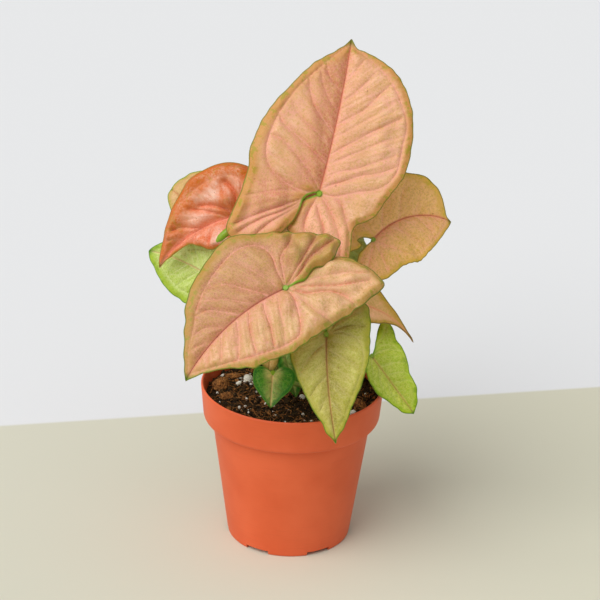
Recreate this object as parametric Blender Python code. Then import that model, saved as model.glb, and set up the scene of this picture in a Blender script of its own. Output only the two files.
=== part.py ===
"""Potted syngonium: a young arrowhead plant with pink and green leaves, in a plastic pot.

The origin is the middle of the pot's base, +Z is up, and the leaves face -Y.
Lengths are written in millimetres and angles in degrees, and the model is built in metres.
"""
import math

import bmesh
import bpy
import numpy as np
from mathutils import Vector
from mathutils.geometry import delaunay_2d_cdt

MM = 0.001
GAP = 0.3                      # left between pieces that touch
MERGE_DISTANCE = 0.005         # points nearer than this after a Boolean become one

# Pot, turned about +Z
POT_HEIGHT = 95.0
POT_TOP_RADIUS = 52.5          # outer radius at the lip
POT_BAND_BOTTOM = 74.0         # height where the wide band below the lip starts
POT_BAND_RADIUS = 50.9         # outer radius at the band's lower edge
POT_NECK_RADIUS = 45.6         # outer radius of the tapered body under the band
POT_BASE_RADIUS = 35.8
POT_WALL = 1.6
POT_LIP_ROUND = 0.7
POT_BAND_ROUND = 2.6           # round lower edge of the band
POT_FOOT_WIDTH = 3.0           # ring that the pot stands on
POT_FOOT_ROUND = 1.0
POT_CHANNEL_WIDTH = 9.0        # raised ring of the floor, with the drain holes
POT_CHANNEL_RISE = 3.0
POT_CHANNEL_SLOPE = 1.2        # how far its sides lean
POT_SEGMENTS = 48
DRAIN_HOLES = 6                # and as many notches in the foot
DRAIN_HOLE_RADIUS = 3.0
DRAIN_HOLE_SIDES = 12
FOOT_NOTCH_SIZE = (17.0, 12.0, 1.5)
FOOT_NOTCH_TURN = 30.0         # from -Y to the first notch

# Soil, filling the pot
SOIL_TOP = 86.0
SOIL_LUMP = 1.3                # height of the lumps
SOIL_RINGS = 8
HOLE_DEPTH = 14.0
HOLE_SIDES = 12

# Loose pieces lying on the soil: place, half sizes and turn about +Z
LUMP_ROUGHNESS = 0.12          # part of its size by which a point may lie further in
LUMP_MIDDLE = 0.6              # height of its widest part, as a part of its half height
BARK_CHIPS = {
    "bark_chip_left": ((-41.0, 9.0), (5.5, 4.4, 3.0), 75.0),
    "bark_chip_long": ((-36.0, 20.5), (5.5, 2.2, 1.7), -15.0),
    "bark_chip_tan": ((-38.0, -5.0), (4.5, 2.4, 1.6), 20.0),
    "bark_chip_right": ((38.0, -10.0), (5.5, 3.0, 2.0), -35.0),
    "bark_chip_back": ((8.0, 40.0), (6.5, 4.0, 2.4), 15.0),
}
PERLITE_GRAINS = {
    "perlite_left_large": ((-26.0, 17.5), (3.0, 2.8, 2.2), 20.0),
    "perlite_left_small": ((-31.0, 12.0), (1.8, 1.6, 1.4), 70.0),
    "perlite_middle": ((5.7, -3.9), (1.9, 1.6, 1.6), 10.0),
    "perlite_right": ((35.0, -21.0), (1.8, 1.5, 1.3), 40.0),
}

# Leaf blades and their stalks
BLADE_THICKNESS = 0.8
STALK_SIDES = 8
STALK_TIP_RADIUS = 1.0
STALK_FOOT_RADIUS = 1.7
CROWN_RADIUS = 4.0             # short stem that a shoot's stalks leave
CROWN_HEIGHT = 9.0             # above the soil
STALK_SPREAD = 1.1             # from the crown's axis to the foot of a stalk
LARGE_LEAF = 50.0              # a leaf from this length on has the wider mesh step
MESH_STEPS = (6.5, 4.5, 3.0)   # mesh step of a large, a middle and a small leaf
SMALL_LEAF = 22.0
RIM_SAMPLES = 400              # points along a leaf's edge before its mesh is made
RIM_STEP = 0.7                 # step along the edge, as a part of the mesh step
EDGE_CLEAR = 0.45              # inner mesh points stay this part of a step off the edge
CDT_INSIDE = 1                 # keep the triangles inside the outline
CDT_EPSILON = 1e-5

# Half of a plain arrowhead leaf, across and along, for a leaf of length 1
PLAIN_HALF = [
    (0.12, 0.86), (0.29, 0.66), (0.39, 0.42), (0.42, 0.16), (0.41, -0.08),
    (0.37, -0.28), (0.27, -0.36), (0.16, -0.29), (0.06, -0.13),
]

PINK = (0.78, 0.40, 0.28)
DUSTY_PINK = (0.72, 0.38, 0.25)
CORAL = (0.80, 0.28, 0.16)
OLIVE = (0.45, 0.36, 0.12)
PALE_GREEN = (0.45, 0.50, 0.16)
GREEN = (0.28, 0.42, 0.08)
DARK_GREEN = (0.06, 0.20, 0.03)
STALK_GREEN = (0.16, 0.36, 0.05)
TERRACOTTA = (0.60, 0.11, 0.04)
SOIL_BROWN = (0.035, 0.018, 0.010)
BARK_BROWN = (0.20, 0.10, 0.04)
PERLITE_WHITE = (0.80, 0.78, 0.72)


def leaf(at, face, clock, length, left, right, colour, rise=0.45, lean=(0.0, 0.0),
         arch=12.0, droop=4.0, sweep=0.0, fold=8.0, curl=-14.0, wave=1.0, waves=3.0):
    """The sizes of one leaf.

    at: where the stalk meets the blade. face: the way the upper face looks, as
    the turn from -Y towards +X and the tilt above level. clock: the way the tip
    points in that face, 0 up and 90 to the right. left and right: the edge on
    each side from tip to stalk, as distance across and along from the stalk.
    arch bends the rib over its length, droop the lobes behind the stalk, sweep
    the rib sideways. fold lifts each half, curl turns its edge down again.
    rise and lean shape the stalk.
    """
    step = MESH_STEPS[0] if length > LARGE_LEAF else MESH_STEPS[1 if length > SMALL_LEAF else 2]
    return dict(at=at, face=face, clock=clock, length=length, left=left, right=right,
                colour=colour, rise=rise, lean=lean, arch=arch, droop=droop, sweep=sweep,
                fold=fold, curl=curl, wave=wave, waves=waves, step=step)


def plain_leaf(at, face, clock, length, colour, **bends):
    """A leaf with the plain arrowhead outline on both sides."""
    half = [(x * length, y * length) for x, y in PLAIN_HALF]
    return leaf(at, face, clock, length, half, half, colour, **bends)


LEAVES = {
    "leaf_top": leaf(
        (12, 6, 209), (4, 26), 12, 89,
        [(10, 78), (22, 68), (34, 47), (43, 26), (42, 6), (43, -10), (44, -34), (32, -36),
         (18, -27), (10, -14), (8, -5), (4, -1)],
        [(4, 84), (10, 82), (26, 75), (38, 60), (42, 49), (44, 38), (44, 23), (38, 7),
         (32, -6), (24, -13), (25, -24), (25, -34), (16, -36), (2, -30), (-8, -21), (-6, -12),
         (-3, -6)],
        PINK, arch=10.0, sweep=-6.0),
    "leaf_right": leaf(
        (44, 24, 175), (20, 32), 84, 53,
        [(2, 49), (8, 46), (14, 43), (22, 36), (26, 28), (35, 16), (38, 4), (35, -10),
         (24, -20), (10, -18), (4, -12), (3, -7), (7, -7), (5, -3)],
        [(4, 52), (14, 47), (19, 42), (26, 25), (24, 5), (22, -4), (20, -12), (16, -18),
         (8, -21), (2, -18), (-1, -12), (-1, -6)],
        OLIVE, arch=14.0, sweep=72.0, curl=-10.0, lean=(6.0, 16.0)),
    "leaf_front": leaf(
        (-5, -50, 176), (-6, 40), -139, 76,
        [(8, 66), (17, 56), (27, 46), (30, 36), (34, 16), (30, -14), (27, -32), (21, -50),
         (13, -49), (5, -35), (3, -22), (3, -9)],
        [(13, 58), (27, 42), (34, 29), (38, 19), (40, 12), (36, 3), (28, -14), (20, -29),
         (14, -38), (10, -39), (2, -28), (-1, -13), (-1, -6)],
        DUSTY_PINK, arch=26.0, sweep=-32.0, curl=-16.0),
    "leaf_left": leaf(
        (-36, 18, 189), (-22, 26), -133, 55,
        [(3, 40), (5, 30), (14, 20), (16, 8), (14, -6), (9, -16), (3, -8)],
        [(4, 48), (9, 40), (20, 26), (27, 17), (30, 8), (31, -2), (25, -15), (12, -23), (4, -12)],
        CORAL, arch=18.0, sweep=-40.0, fold=14.0, curl=-16.0, lean=(2.0, 30.0)),
    "leaf_left_back": leaf(
        (-55, 38, 182), (-16, 30), -60, 24,
        [(4, 23), (8, 18), (13, 8), (15, 0), (11, -10), (4, -7)],
        [(3, 24), (10, 22), (17, 18), (22, 10), (20, -6), (13, -12), (4, -7)],
        OLIVE, arch=14.0, curl=-10.0, wave=0.6, lean=(0.0, 22.0)),
    "leaf_left_low": leaf(
        (-33, 5, 144), (-28, 24), -77, 66,
        [(6, 62), (15, 50), (20, 38), (20, 24), (18, 12), (15, -2), (9, -9), (3, -7)],
        [(4, 61), (8, 54), (12, 44), (19, 28), (24, 14), (26, 1), (20, -12), (7, -8)],
        GREEN, arch=16.0, sweep=-33.0, fold=10.0, curl=-16.0),
    "leaf_front_low": leaf(
        (18, -46, 147), (4, 26), 175, 61,
        [(1, 58), (6, 52), (12, 41), (18, 30), (22, 19), (24, 6), (24, -7), (22, -17),
         (15, -17), (9, -12), (3, -5)],
        [(4, 54), (6, 48), (10, 40), (14, 30), (18, 20), (20, 10), (19, 3), (14, -4), (8, -6),
         (4, -4)],
        PALE_GREEN, arch=24.0, sweep=-13.0),
    "leaf_right_low": leaf(
        (45, -4, 115), (20, 40), 154, 41,
        [(5, 37), (10, 30), (12, 21), (16, 12), (18, 0), (20, -9), (18, -14), (11, -10),
         (5, -4)],
        [(5, 37), (8, 30), (10, 24), (12, 18), (11, 11), (9, 6), (6, 0), (2, -2)],
        GREEN, arch=16.0, sweep=-7.0, fold=10.0, wave=0.8),
    "leaf_right_small": leaf(
        (29, 8, 143), (20, 44), 130, 48,
        [(2, 39), (5, 28), (9, 20), (12, 15), (14, 8), (13, -4), (9, -14), (3, -7)],
        [(3, 36), (6, 28), (11, 17), (12, 8), (12, -4), (8, -14), (3, -7)],
        OLIVE, arch=40.0, sweep=44.0, fold=6.0, wave=0.6),
    "leaf_soil_dark": leaf(
        (-11, -26, 113), (-4, 34), 180, 20,
        [(3, 19), (8, 14), (12, 9), (13, 4), (12, 0), (8, -3), (4, -3)],
        [(3, 18), (9, 11), (11, 5), (10, -1), (7, -3), (3, -2)],
        DARK_GREEN, arch=10.0, curl=-10.0, wave=0.3),
    "leaf_soil_olive": leaf(
        (-13, -16, 122), (-6, 30), 178, 12,
        [(3, 11), (5, 7), (5, 3), (3, -2)],
        [(2, 11), (5, 7), (5, 3), (3, -2)],
        OLIVE, arch=4.0, droop=0.0, fold=4.0, curl=-10.0, wave=0.0),
    "leaf_soil_hidden": leaf(
        (-5, 0, 114), (8, 30), 168, 27,
        [(3, 24), (5, 20), (5, 13), (6, 6), (6, 0), (3, -2)],
        [(2, 24), (5, 18), (6, 9), (6, 2), (2, -2)],
        DARK_GREEN, arch=10.0, droop=0.0, curl=-10.0, wave=0.4),
    "leaf_back_high": plain_leaf((-2, 42, 198), (-172, 30), 186, 54, DUSTY_PINK),
    "leaf_back_tall": plain_leaf((20, 44, 170), (155, 30), 176, 52, PALE_GREEN),
    "leaf_back_left": plain_leaf((-14, 40, 150), (-155, 28), 184, 46, GREEN),
    "leaf_back_right": plain_leaf((21, 40, 124), (140, 34), 172, 40, GREEN),
}

# Shoots: the place of the crown, and its leaves
SHOOTS = {
    "shoot_back": ((6, 14), ("leaf_top", "leaf_back_high", "leaf_back_tall",
                             "leaf_soil_hidden")),
    "shoot_right": ((21, 8), ("leaf_right", "leaf_right_low", "leaf_right_small",
                              "leaf_back_right")),
    "shoot_left": ((-12, 8), ("leaf_left", "leaf_left_back", "leaf_left_low",
                              "leaf_back_left", "leaf_soil_olive")),
    "shoot_front": ((16, -8), ("leaf_front", "leaf_front_low", "leaf_soil_dark")),
}

# A young leaf, still rolled, that nods from the back shoot: its route above the
# crown and its radius along it
ROLLED_LEAF_SHOOT = "shoot_back"
ROLLED_LEAF_ROUTE = [(2, 14, 120), (-6, 11, 155), (-18, 8, 177), (-31, 5, 180), (-42, 2.5, 170)]
ROLLED_LEAF_RINGS = 18
ROLLED_LEAF_RADII = [(0.0, 1.4), (0.65, 1.0), (0.78, 2.0), (0.92, 2.2), (1.0, 0.5)]


def add_material(obj, colour, roughness):
    """Give the object a plain material of its own."""
    material = bpy.data.materials.new(obj.name)
    material.use_nodes = True
    shader = material.node_tree.nodes["Principled BSDF"]
    shader.inputs["Base Color"].default_value = (*colour, 1.0)
    shader.inputs["Roughness"].default_value = roughness
    shader.inputs["Metallic"].default_value = 0.0
    obj.data.materials.clear()
    obj.data.materials.append(material)


def mesh_object(name, points, faces):
    """A new object from points in millimetres."""
    mesh = bpy.data.meshes.new(name)
    mesh.from_pydata([tuple(float(v) * MM for v in p) for p in points], [], faces)
    mesh.validate()
    obj = bpy.data.objects.new(name, mesh)
    bpy.context.scene.collection.objects.link(obj)
    return obj


def apply_modifiers(obj):
    """Replace the object's mesh by the evaluated one."""
    graph = bpy.context.evaluated_depsgraph_get()
    mesh = bpy.data.meshes.new_from_object(obj.evaluated_get(graph))
    obj.modifiers.clear()
    obj.data = mesh


def remove(obj):
    bpy.data.objects.remove(obj, do_unlink=True)


def merge_close_points(obj):
    """Join the points of slivers that a Boolean leaves."""
    mesh = bmesh.new()
    mesh.from_mesh(obj.data)
    bmesh.ops.remove_doubles(mesh, verts=mesh.verts, dist=MERGE_DISTANCE * MM)
    bmesh.ops.dissolve_degenerate(mesh, edges=mesh.edges, dist=MERGE_DISTANCE * MM)
    mesh.to_mesh(obj.data)
    mesh.free()


def combine(obj, others, operation):
    """Join the other objects to this one, or cut them from it, and remove them."""
    group = bpy.data.collections.new(obj.name + "_others")
    for other in others:
        group.objects.link(other)
    boolean = obj.modifiers.new("combine", "BOOLEAN")
    boolean.operation = operation
    boolean.operand_type = "COLLECTION"
    boolean.collection = group
    boolean.solver = "EXACT"
    apply_modifiers(obj)
    merge_close_points(obj)
    for other in list(group.objects):
        remove(other)
    bpy.data.collections.remove(group)


def lathe(name, profile, segments, relief=None):
    """Turn a profile of (radius, height), from the axis round to the axis, about +Z."""
    points = []
    rings = []
    for radius, height in profile:
        if radius == 0:
            rings.append([len(points)] * segments)
            points.append((0.0, 0.0, height + (relief(0.0, 0.0, height) if relief else 0.0)))
            continue
        rings.append([len(points) + k for k in range(segments)])
        for k in range(segments):
            angle = math.tau * k / segments
            x = radius * math.cos(angle)
            y = radius * math.sin(angle)
            points.append((x, y, height + (relief(x, y, height) if relief else 0.0)))
    faces = []
    for lower, upper in zip(rings, rings[1:]):
        for k in range(segments):
            n = (k + 1) % segments
            corners = [lower[k], lower[n], upper[n], upper[k]]
            faces.append([c for i, c in enumerate(corners) if c not in corners[:i]])
    return mesh_object(name, points, faces)


def pot_profiles():
    """The pot's outer and inner surfaces, each as (radius, height) from the axis out and up."""
    neck_top = POT_BAND_BOTTOM - 2.0
    foot_inner = POT_BASE_RADIUS - POT_FOOT_WIDTH
    channel_inner = foot_inner - POT_CHANNEL_WIDTH
    rise = POT_CHANNEL_RISE
    lean = POT_CHANNEL_SLOPE
    edge = POT_BAND_ROUND
    taper = (POT_NECK_RADIUS - POT_BASE_RADIUS) / neck_top
    outer = [
        (0, 0), (channel_inner - lean, 0), (channel_inner, rise), (foot_inner, rise),
        (foot_inner + lean / 3, 0), (POT_BASE_RADIUS - POT_FOOT_ROUND / 2, 0),
        (POT_BASE_RADIUS, POT_FOOT_ROUND), (POT_NECK_RADIUS, neck_top),
        (POT_NECK_RADIUS + 0.5, POT_BAND_BOTTOM - 0.5), (POT_NECK_RADIUS + 1.4, POT_BAND_BOTTOM),
        (POT_BAND_RADIUS - 0.8 * edge, POT_BAND_BOTTOM),
        (POT_BAND_RADIUS - 0.2 * edge, POT_BAND_BOTTOM + 0.35 * edge),
        (POT_BAND_RADIUS, POT_BAND_BOTTOM + edge),
        (POT_TOP_RADIUS, POT_HEIGHT - POT_LIP_ROUND), (POT_TOP_RADIUS - POT_LIP_ROUND, POT_HEIGHT),
    ]
    floor_radius = POT_BASE_RADIUS - POT_WALL + taper * (rise + POT_WALL)
    inner = [
        (0, POT_WALL), (channel_inner - 2 * lean, POT_WALL), (channel_inner - lean, rise + POT_WALL),
        (floor_radius, rise + POT_WALL),
        (POT_NECK_RADIUS - POT_WALL, POT_BAND_BOTTOM - 1),
        (POT_BAND_RADIUS - POT_WALL - 0.4, POT_BAND_BOTTOM + 2.0),
        (POT_TOP_RADIUS - POT_WALL, POT_HEIGHT - POT_LIP_ROUND),
    ]
    return outer, inner


def make_pot():
    """The pot: a thin tapered wall with a band, a foot ring, drain holes and foot notches."""
    outer, inner = pot_profiles()
    lip = (POT_TOP_RADIUS - POT_WALL + POT_LIP_ROUND, POT_HEIGHT)
    pot = lathe("pot", outer + [lip] + inner[::-1], POT_SEGMENTS)
    cutters = []
    channel_radius = POT_BASE_RADIUS - POT_FOOT_WIDTH - POT_CHANNEL_WIDTH / 2
    for k in range(DRAIN_HOLES):
        angle = math.tau * k / DRAIN_HOLES
        bpy.ops.mesh.primitive_cylinder_add(
            vertices=DRAIN_HOLE_SIDES, radius=DRAIN_HOLE_RADIUS * MM, depth=12 * MM,
            location=(channel_radius * math.cos(angle) * MM,
                      channel_radius * math.sin(angle) * MM, POT_CHANNEL_RISE * MM))
        cutters.append(bpy.context.object)
    for k in range(DRAIN_HOLES):
        angle = math.radians(FOOT_NOTCH_TURN) + math.tau * k / DRAIN_HOLES
        bpy.ops.mesh.primitive_cube_add(
            size=1.0, location=(POT_BASE_RADIUS * math.sin(angle) * MM,
                                -POT_BASE_RADIUS * math.cos(angle) * MM, 0.0),
            rotation=(0.0, 0.0, angle))
        cube = bpy.context.object
        cube.scale = [FOOT_NOTCH_SIZE[0] * MM, FOOT_NOTCH_SIZE[1] * MM, 2 * FOOT_NOTCH_SIZE[2] * MM]
        cutters.append(cube)
    combine(pot, cutters, "DIFFERENCE")
    add_material(pot, TERRACOTTA, 0.5)


def on_soil():
    """Place and reach of everything that stands or lies on the soil."""
    seats = [(place, CROWN_RADIUS) for place, leaves in SHOOTS.values()]
    for place, half, turn in list(BARK_CHIPS.values()) + list(PERLITE_GRAINS.values()):
        seats.append((place, max(half[:2])))
    return seats


def soil_relief(x, y, height):
    """Lumps on the soil's top face, flat under what stands or lies there and at the wall."""
    if height < SOIL_TOP - 0.01:
        return 0.0
    lumps = math.sin(0.31 * x + 1.0) * math.cos(0.27 * y - 0.4)
    lumps += 0.6 * math.sin(0.55 * x - 0.48 * y + 2.0) + 0.4 * math.cos(0.9 * y + 0.7 * x)
    calm = 1.0
    for (px, py), reach in on_soil():
        calm = min(calm, max(0.0, (math.hypot(x - px, y - py) - reach - 4.0) / 4.0))
    return 0.5 * SOIL_LUMP * lumps * calm


def make_soil():
    """The soil: it fills the pot and has a plain hole for each shoot."""
    inner = pot_profiles()[1]
    bottom = [(r - (GAP if r else 0), z + GAP) for r, z in inner[:4]]
    wall = [(inner[4][0] - GAP, inner[4][1] + GAP), (inner[5][0] - GAP, inner[5][1] + GAP)]
    slope = (inner[6][0] - inner[5][0]) / (inner[6][1] - inner[5][1])
    rim = inner[5][0] - GAP + slope * (SOIL_TOP - inner[5][1])
    top = [(rim * k / SOIL_RINGS, SOIL_TOP) for k in range(SOIL_RINGS, 0, -1)] + [(0, SOIL_TOP)]
    soil = lathe("soil", bottom + wall + top, POT_SEGMENTS, soil_relief)
    cutters = []
    radius = (CROWN_RADIUS + GAP) / math.cos(math.pi / HOLE_SIDES)
    for place, leaves in SHOOTS.values():
        bpy.ops.mesh.primitive_cylinder_add(
            vertices=HOLE_SIDES, radius=radius * MM, depth=2 * HOLE_DEPTH * MM,
            location=(place[0] * MM, place[1] * MM, SOIL_TOP * MM))
        cutters.append(bpy.context.object)
    combine(soil, cutters, "DIFFERENCE")
    add_material(soil, SOIL_BROWN, 0.95)


def make_lump(name, place, half, turn, colour, seed):
    """A bark chip or a grain of perlite: a rough stone shape, flat where it lies."""
    bpy.ops.mesh.primitive_ico_sphere_add(subdivisions=2, radius=1.0)
    obj = bpy.context.object
    obj.name = name
    rng = np.random.default_rng(seed)
    angle = math.radians(turn)
    bottom = SOIL_TOP + GAP
    for vertex in obj.data.vertices:
        rough = 1.0 + rng.uniform(-LUMP_ROUGHNESS, 0.0)
        x, y, z = (vertex.co[k] * half[k] * rough for k in range(3))
        height = max(bottom, bottom + LUMP_MIDDLE * half[2] + z)
        vertex.co = ((place[0] + x * math.cos(angle) - y * math.sin(angle)) * MM,
                     (place[1] + x * math.sin(angle) + y * math.cos(angle)) * MM, height * MM)
    add_material(obj, colour, 0.9)


def smooth_curve(points, count):
    """Evenly spaced points on a smooth curve through the given ones."""
    p = np.array(points, float)
    step = np.sqrt(np.linalg.norm(np.diff(p, axis=0), axis=1))
    time = np.concatenate([[-step[0]], [0], np.cumsum(step), [step.sum() + step[-1]]])
    p = np.vstack([2 * p[0] - p[1], p, 2 * p[-1] - p[-2]])
    pieces = [p[1:2]]
    s = np.linspace(0, 1, 17)[1:, None]
    for k in range(1, len(p) - 2):
        p0, p1, p2, p3 = p[k - 1:k + 3]
        t0, t1, t2, t3 = time[k - 1:k + 3]
        out = ((p2 - p1) / (t2 - t1) - (p2 - p0) / (t2 - t0) + (p1 - p0) / (t1 - t0)) * (t2 - t1)
        into = ((p2 - p1) / (t2 - t1) - (p3 - p1) / (t3 - t1) + (p3 - p2) / (t3 - t2)) * (t2 - t1)
        pieces.append((2 * s**3 - 3 * s**2 + 1) * p1 + (s**3 - 2 * s**2 + s) * out
                      + (3 * s**2 - 2 * s**3) * p2 + (s**3 - s**2) * into)
    fine = np.vstack(pieces)
    run = np.concatenate([[0], np.cumsum(np.linalg.norm(np.diff(fine, axis=0), axis=1))])
    even = np.linspace(0, run[-1], count)
    return np.stack([np.interp(even, run, fine[:, k]) for k in range(p.shape[1])], axis=1)


def leaf_axes(face, clock):
    """Unit vectors towards the tip, to the right of it, and out of the upper face."""
    turn, tilt = np.radians(face)
    normal = np.array([math.sin(turn) * math.cos(tilt), -math.cos(turn) * math.cos(tilt),
                       math.sin(tilt)])
    up = np.array([0.0, 0.0, 1.0]) - normal * normal[2]
    up /= np.linalg.norm(up)
    across = np.cross(up, normal)
    angle = math.radians(clock)
    return (math.cos(angle) * up + math.sin(angle) * across,
            math.cos(angle) * across - math.sin(angle) * up, normal)


def rib(one, along):
    """Point, right-hand direction and normal of the bent rib at distances along it."""
    tip, right, normal = leaf_axes(one["face"], one["clock"])
    lobe = max(1.0, -min(y for x, y in one["left"] + one["right"]))
    fine = np.linspace(-1.2 * lobe, one["length"], 241)
    part = fine / one["length"]
    front = fine >= 0
    arch = np.radians(np.where(front, one["arch"] * (0.5 - part),
                               0.5 * one["arch"] - one["droop"] * fine / lobe))
    sweep = np.radians(np.where(front, one["sweep"] * (part - 0.5), -0.5 * one["sweep"]))
    ca, sa, cs, ss = (f[:, None] for f in (np.cos(arch), np.sin(arch), np.cos(sweep),
                                           np.sin(sweep)))
    heading = ca * cs * tip + ca * ss * right + sa * normal
    outward = ca * normal - sa * (cs * tip + ss * right)
    side = np.cross(heading, outward)
    steps = 0.5 * (heading[1:] + heading[:-1]) * np.diff(fine)[:, None]
    place = np.vstack([[0, 0, 0], np.cumsum(steps, axis=0)])

    def read(values):
        return np.stack([np.interp(along, fine, values[:, k]) for k in range(3)], axis=-1)

    start = np.array([np.interp(0.0, fine, place[:, k]) for k in range(3)])
    return read(place - start), read(side), read(outward)


def half_outline(one, side):
    """The edge of one half of the flat blade, from tip to stalk, finely divided."""
    points = one["right"] if side > 0 else one["left"]
    return smooth_curve([(0, one["length"])] + points + [(0, 0)], RIM_SAMPLES)


def bend(one, side, rim, flat):
    """Place points of the flat half blade on the bent, folded, curled and waved one."""
    x = flat[:, 0]
    y = flat[:, 1]
    width = rim[:, 0].max()
    lobe = max(1.0, -rim[:, 1].min())
    place, right, normal = rib(one, y)
    lift = math.radians(one["fold"])
    turn = math.radians(one["curl"])
    across = width / turn * (np.sin(lift + turn * x / width) - math.sin(lift))
    above = width / turn * (math.cos(lift) - np.cos(lift + turn * x / width))
    phase = one["waves"] * (y + lobe) / (one["length"] + lobe)
    above += one["wave"] * (x / width) ** 2 * np.sin(math.tau * phase)
    return place + side * across[:, None] * right + above[:, None] * normal + np.array(one["at"])


def inner_points(border, step):
    """Points of a triangular grid that lie inside a closed border and clear of it."""
    low = border.min(axis=0)
    high = border.max(axis=0)
    grid = []
    for row, y in enumerate(np.arange(low[1], high[1], step * math.sqrt(0.75))):
        grid += [(x, y) for x in np.arange(low[0] + step * (row % 2) / 2, high[0], step)]
    grid = np.array(grid)
    start = border
    run = np.roll(border, -1, axis=0) - start
    x = grid[:, 0][:, None]
    y = grid[:, 1][:, None]
    spans = (start[:, 1] > y) != (start[:, 1] + run[:, 1] > y)
    rise = np.where(run[:, 1] == 0, 1.0, run[:, 1])
    crossed = spans & (x < start[:, 0] + run[:, 0] * (y - start[:, 1]) / rise)
    inside = crossed.sum(axis=1) % 2 == 1
    away = grid[:, None, :] - start
    along = np.clip((away * run).sum(axis=2) / (run ** 2).sum(axis=1), 0, 1)
    clear = np.linalg.norm(away - along[..., None] * run, axis=2).min(axis=1) > EDGE_CLEAR * step
    return grid[inside & clear]


def half_blade(one, side, step):
    """Points and triangles of one half of the blade."""
    rim = half_outline(one, side)
    run = np.linalg.norm(np.diff(rim, axis=0), axis=1).sum()
    picks = np.linspace(0, RIM_SAMPLES - 1, round(run / (RIM_STEP * step)) + 1).round().astype(int)
    spine = np.linspace(0, one["length"], round(one["length"] / step) + 1)[1:-1]
    border = np.vstack([rim[picks], [(0.0, y) for y in spine]])
    flat = np.vstack([border, inner_points(border, step)])
    flat, edges, triangles = delaunay_2d_cdt(
        [Vector(p) for p in flat], [], [list(range(len(border)))], CDT_INSIDE, CDT_EPSILON)[:3]
    points = bend(one, side, rim, np.array([tuple(p) for p in flat]))
    return points, [t if side < 0 else t[::-1] for t in triangles]


def make_leaf(name, one):
    """A thin blade with its real outline, bent, folded and waved."""
    points = []
    index = {}
    faces = []
    for side in (-1, 1):
        half, triangles = half_blade(one, side, one["step"])
        label = []
        for point in half:
            key = tuple(np.round(point, 3))
            if key not in index:
                index[key] = len(points)
                points.append(point)
            label.append(index[key])
        faces += [[label[corner] for corner in triangle] for triangle in triangles]
    blade = mesh_object(name, points, faces)
    thicken = blade.modifiers.new("thickness", "SOLIDIFY")
    thicken.thickness = BLADE_THICKNESS * MM
    thicken.offset = 0.0
    add_material(blade, one["colour"], 0.45)


def tube(name, path, radii, sides):
    """A round stalk along a path, closed at both ends."""
    path = np.array(path, float)
    heading = np.gradient(path, axis=0)
    heading /= np.linalg.norm(heading, axis=1)[:, None]
    side = np.cross(heading[0], [0.3, 0.9, 0.1])
    points = []
    for place, ahead, radius in zip(path, heading, radii):
        side = side - ahead * (side @ ahead)
        side /= np.linalg.norm(side)
        other = np.cross(ahead, side)
        for k in range(sides):
            angle = math.tau * k / sides
            points.append(place + radius * (math.cos(angle) * side + math.sin(angle) * other))
    faces = [list(range(sides))[::-1]]
    for ring in range(len(path) - 1):
        for k in range(sides):
            n = (k + 1) % sides
            first = ring * sides
            faces.append([first + k, first + n, first + sides + n, first + sides + k])
    faces.append([len(points) - sides + k for k in range(sides)])
    return mesh_object(name, points, faces)


def stalk_path(foot, one, count):
    """Points of a stalk from the crown to just under the blade."""
    normal = leaf_axes(one["face"], one["clock"])[2]
    seat = np.array(one["at"]) - normal * (BLADE_THICKNESS / 2 + GAP + STALK_TIP_RADIUS)
    start = np.array([foot[0], foot[1], SOIL_TOP + 2.0])
    height = seat[2] - start[2]
    first = start + np.array([one["lean"][0], one["lean"][1], one["rise"] * height])
    last = seat - 0.4 * height * (0.5 * np.array([0, 0, 1]) + 0.5 * (seat - start) / np.linalg.norm(
        seat - start))
    t = np.linspace(0, 1, count)[:, None]
    return (1 - t)**3 * start + 3 * (1 - t)**2 * t * first + 3 * (1 - t) * t**2 * last + t**3 * seat


def make_shoot(name, place, leaves):
    """A short green crown standing in the soil, with a stalk for each leaf."""
    bottom = SOIL_TOP - HOLE_DEPTH + GAP
    heights = (bottom, SOIL_TOP - 2, SOIL_TOP + 4, SOIL_TOP + CROWN_HEIGHT)
    radii = (CROWN_RADIUS - 0.6, CROWN_RADIUS, CROWN_RADIUS - 0.4, CROWN_RADIUS - 2.0)
    crown = tube(name, [(place[0], place[1], z) for z in heights], radii, HOLE_SIDES)
    stalks = []
    for k, leaf_name in enumerate(leaves):
        one = LEAVES[leaf_name]
        turn = math.tau * k / len(leaves)
        foot = (place[0] + STALK_SPREAD * math.cos(turn), place[1] + STALK_SPREAD * math.sin(turn))
        count = max(5, round((one["at"][2] - SOIL_TOP) / 10))
        path = stalk_path(foot, one, count)
        widths = np.linspace(STALK_FOOT_RADIUS, STALK_TIP_RADIUS, count)
        stalks.append(tube("stalk", path, widths, STALK_SIDES))
    if name == ROLLED_LEAF_SHOOT:
        route = [(place[0], place[1], SOIL_TOP + 2)] + ROLLED_LEAF_ROUTE
        part, radius = zip(*ROLLED_LEAF_RADII)
        widths = np.interp(np.linspace(0, 1, ROLLED_LEAF_RINGS), part, radius)
        stalks.append(tube("stalk", smooth_curve(route, ROLLED_LEAF_RINGS), widths, STALK_SIDES))
    combine(crown, stalks, "UNION")
    add_material(crown, STALK_GREEN, 0.4)


def main():
    for obj in list(bpy.data.objects):
        remove(obj)
    make_pot()
    make_soil()
    for kind, colour in ((BARK_CHIPS, BARK_BROWN), (PERLITE_GRAINS, PERLITE_WHITE)):
        for seed, (name, (place, half, turn)) in enumerate(kind.items()):
            make_lump(name, place, half, turn, colour, seed)
    for name, (place, leaves) in SHOOTS.items():
        make_shoot(name, place, leaves)
    for name, one in LEAVES.items():
        make_leaf(name, one)


main()
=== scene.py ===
import math

import bmesh
import bpy
import numpy as np
from mathutils import Matrix, Vector
from mathutils.geometry import delaunay_2d_cdt


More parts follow.
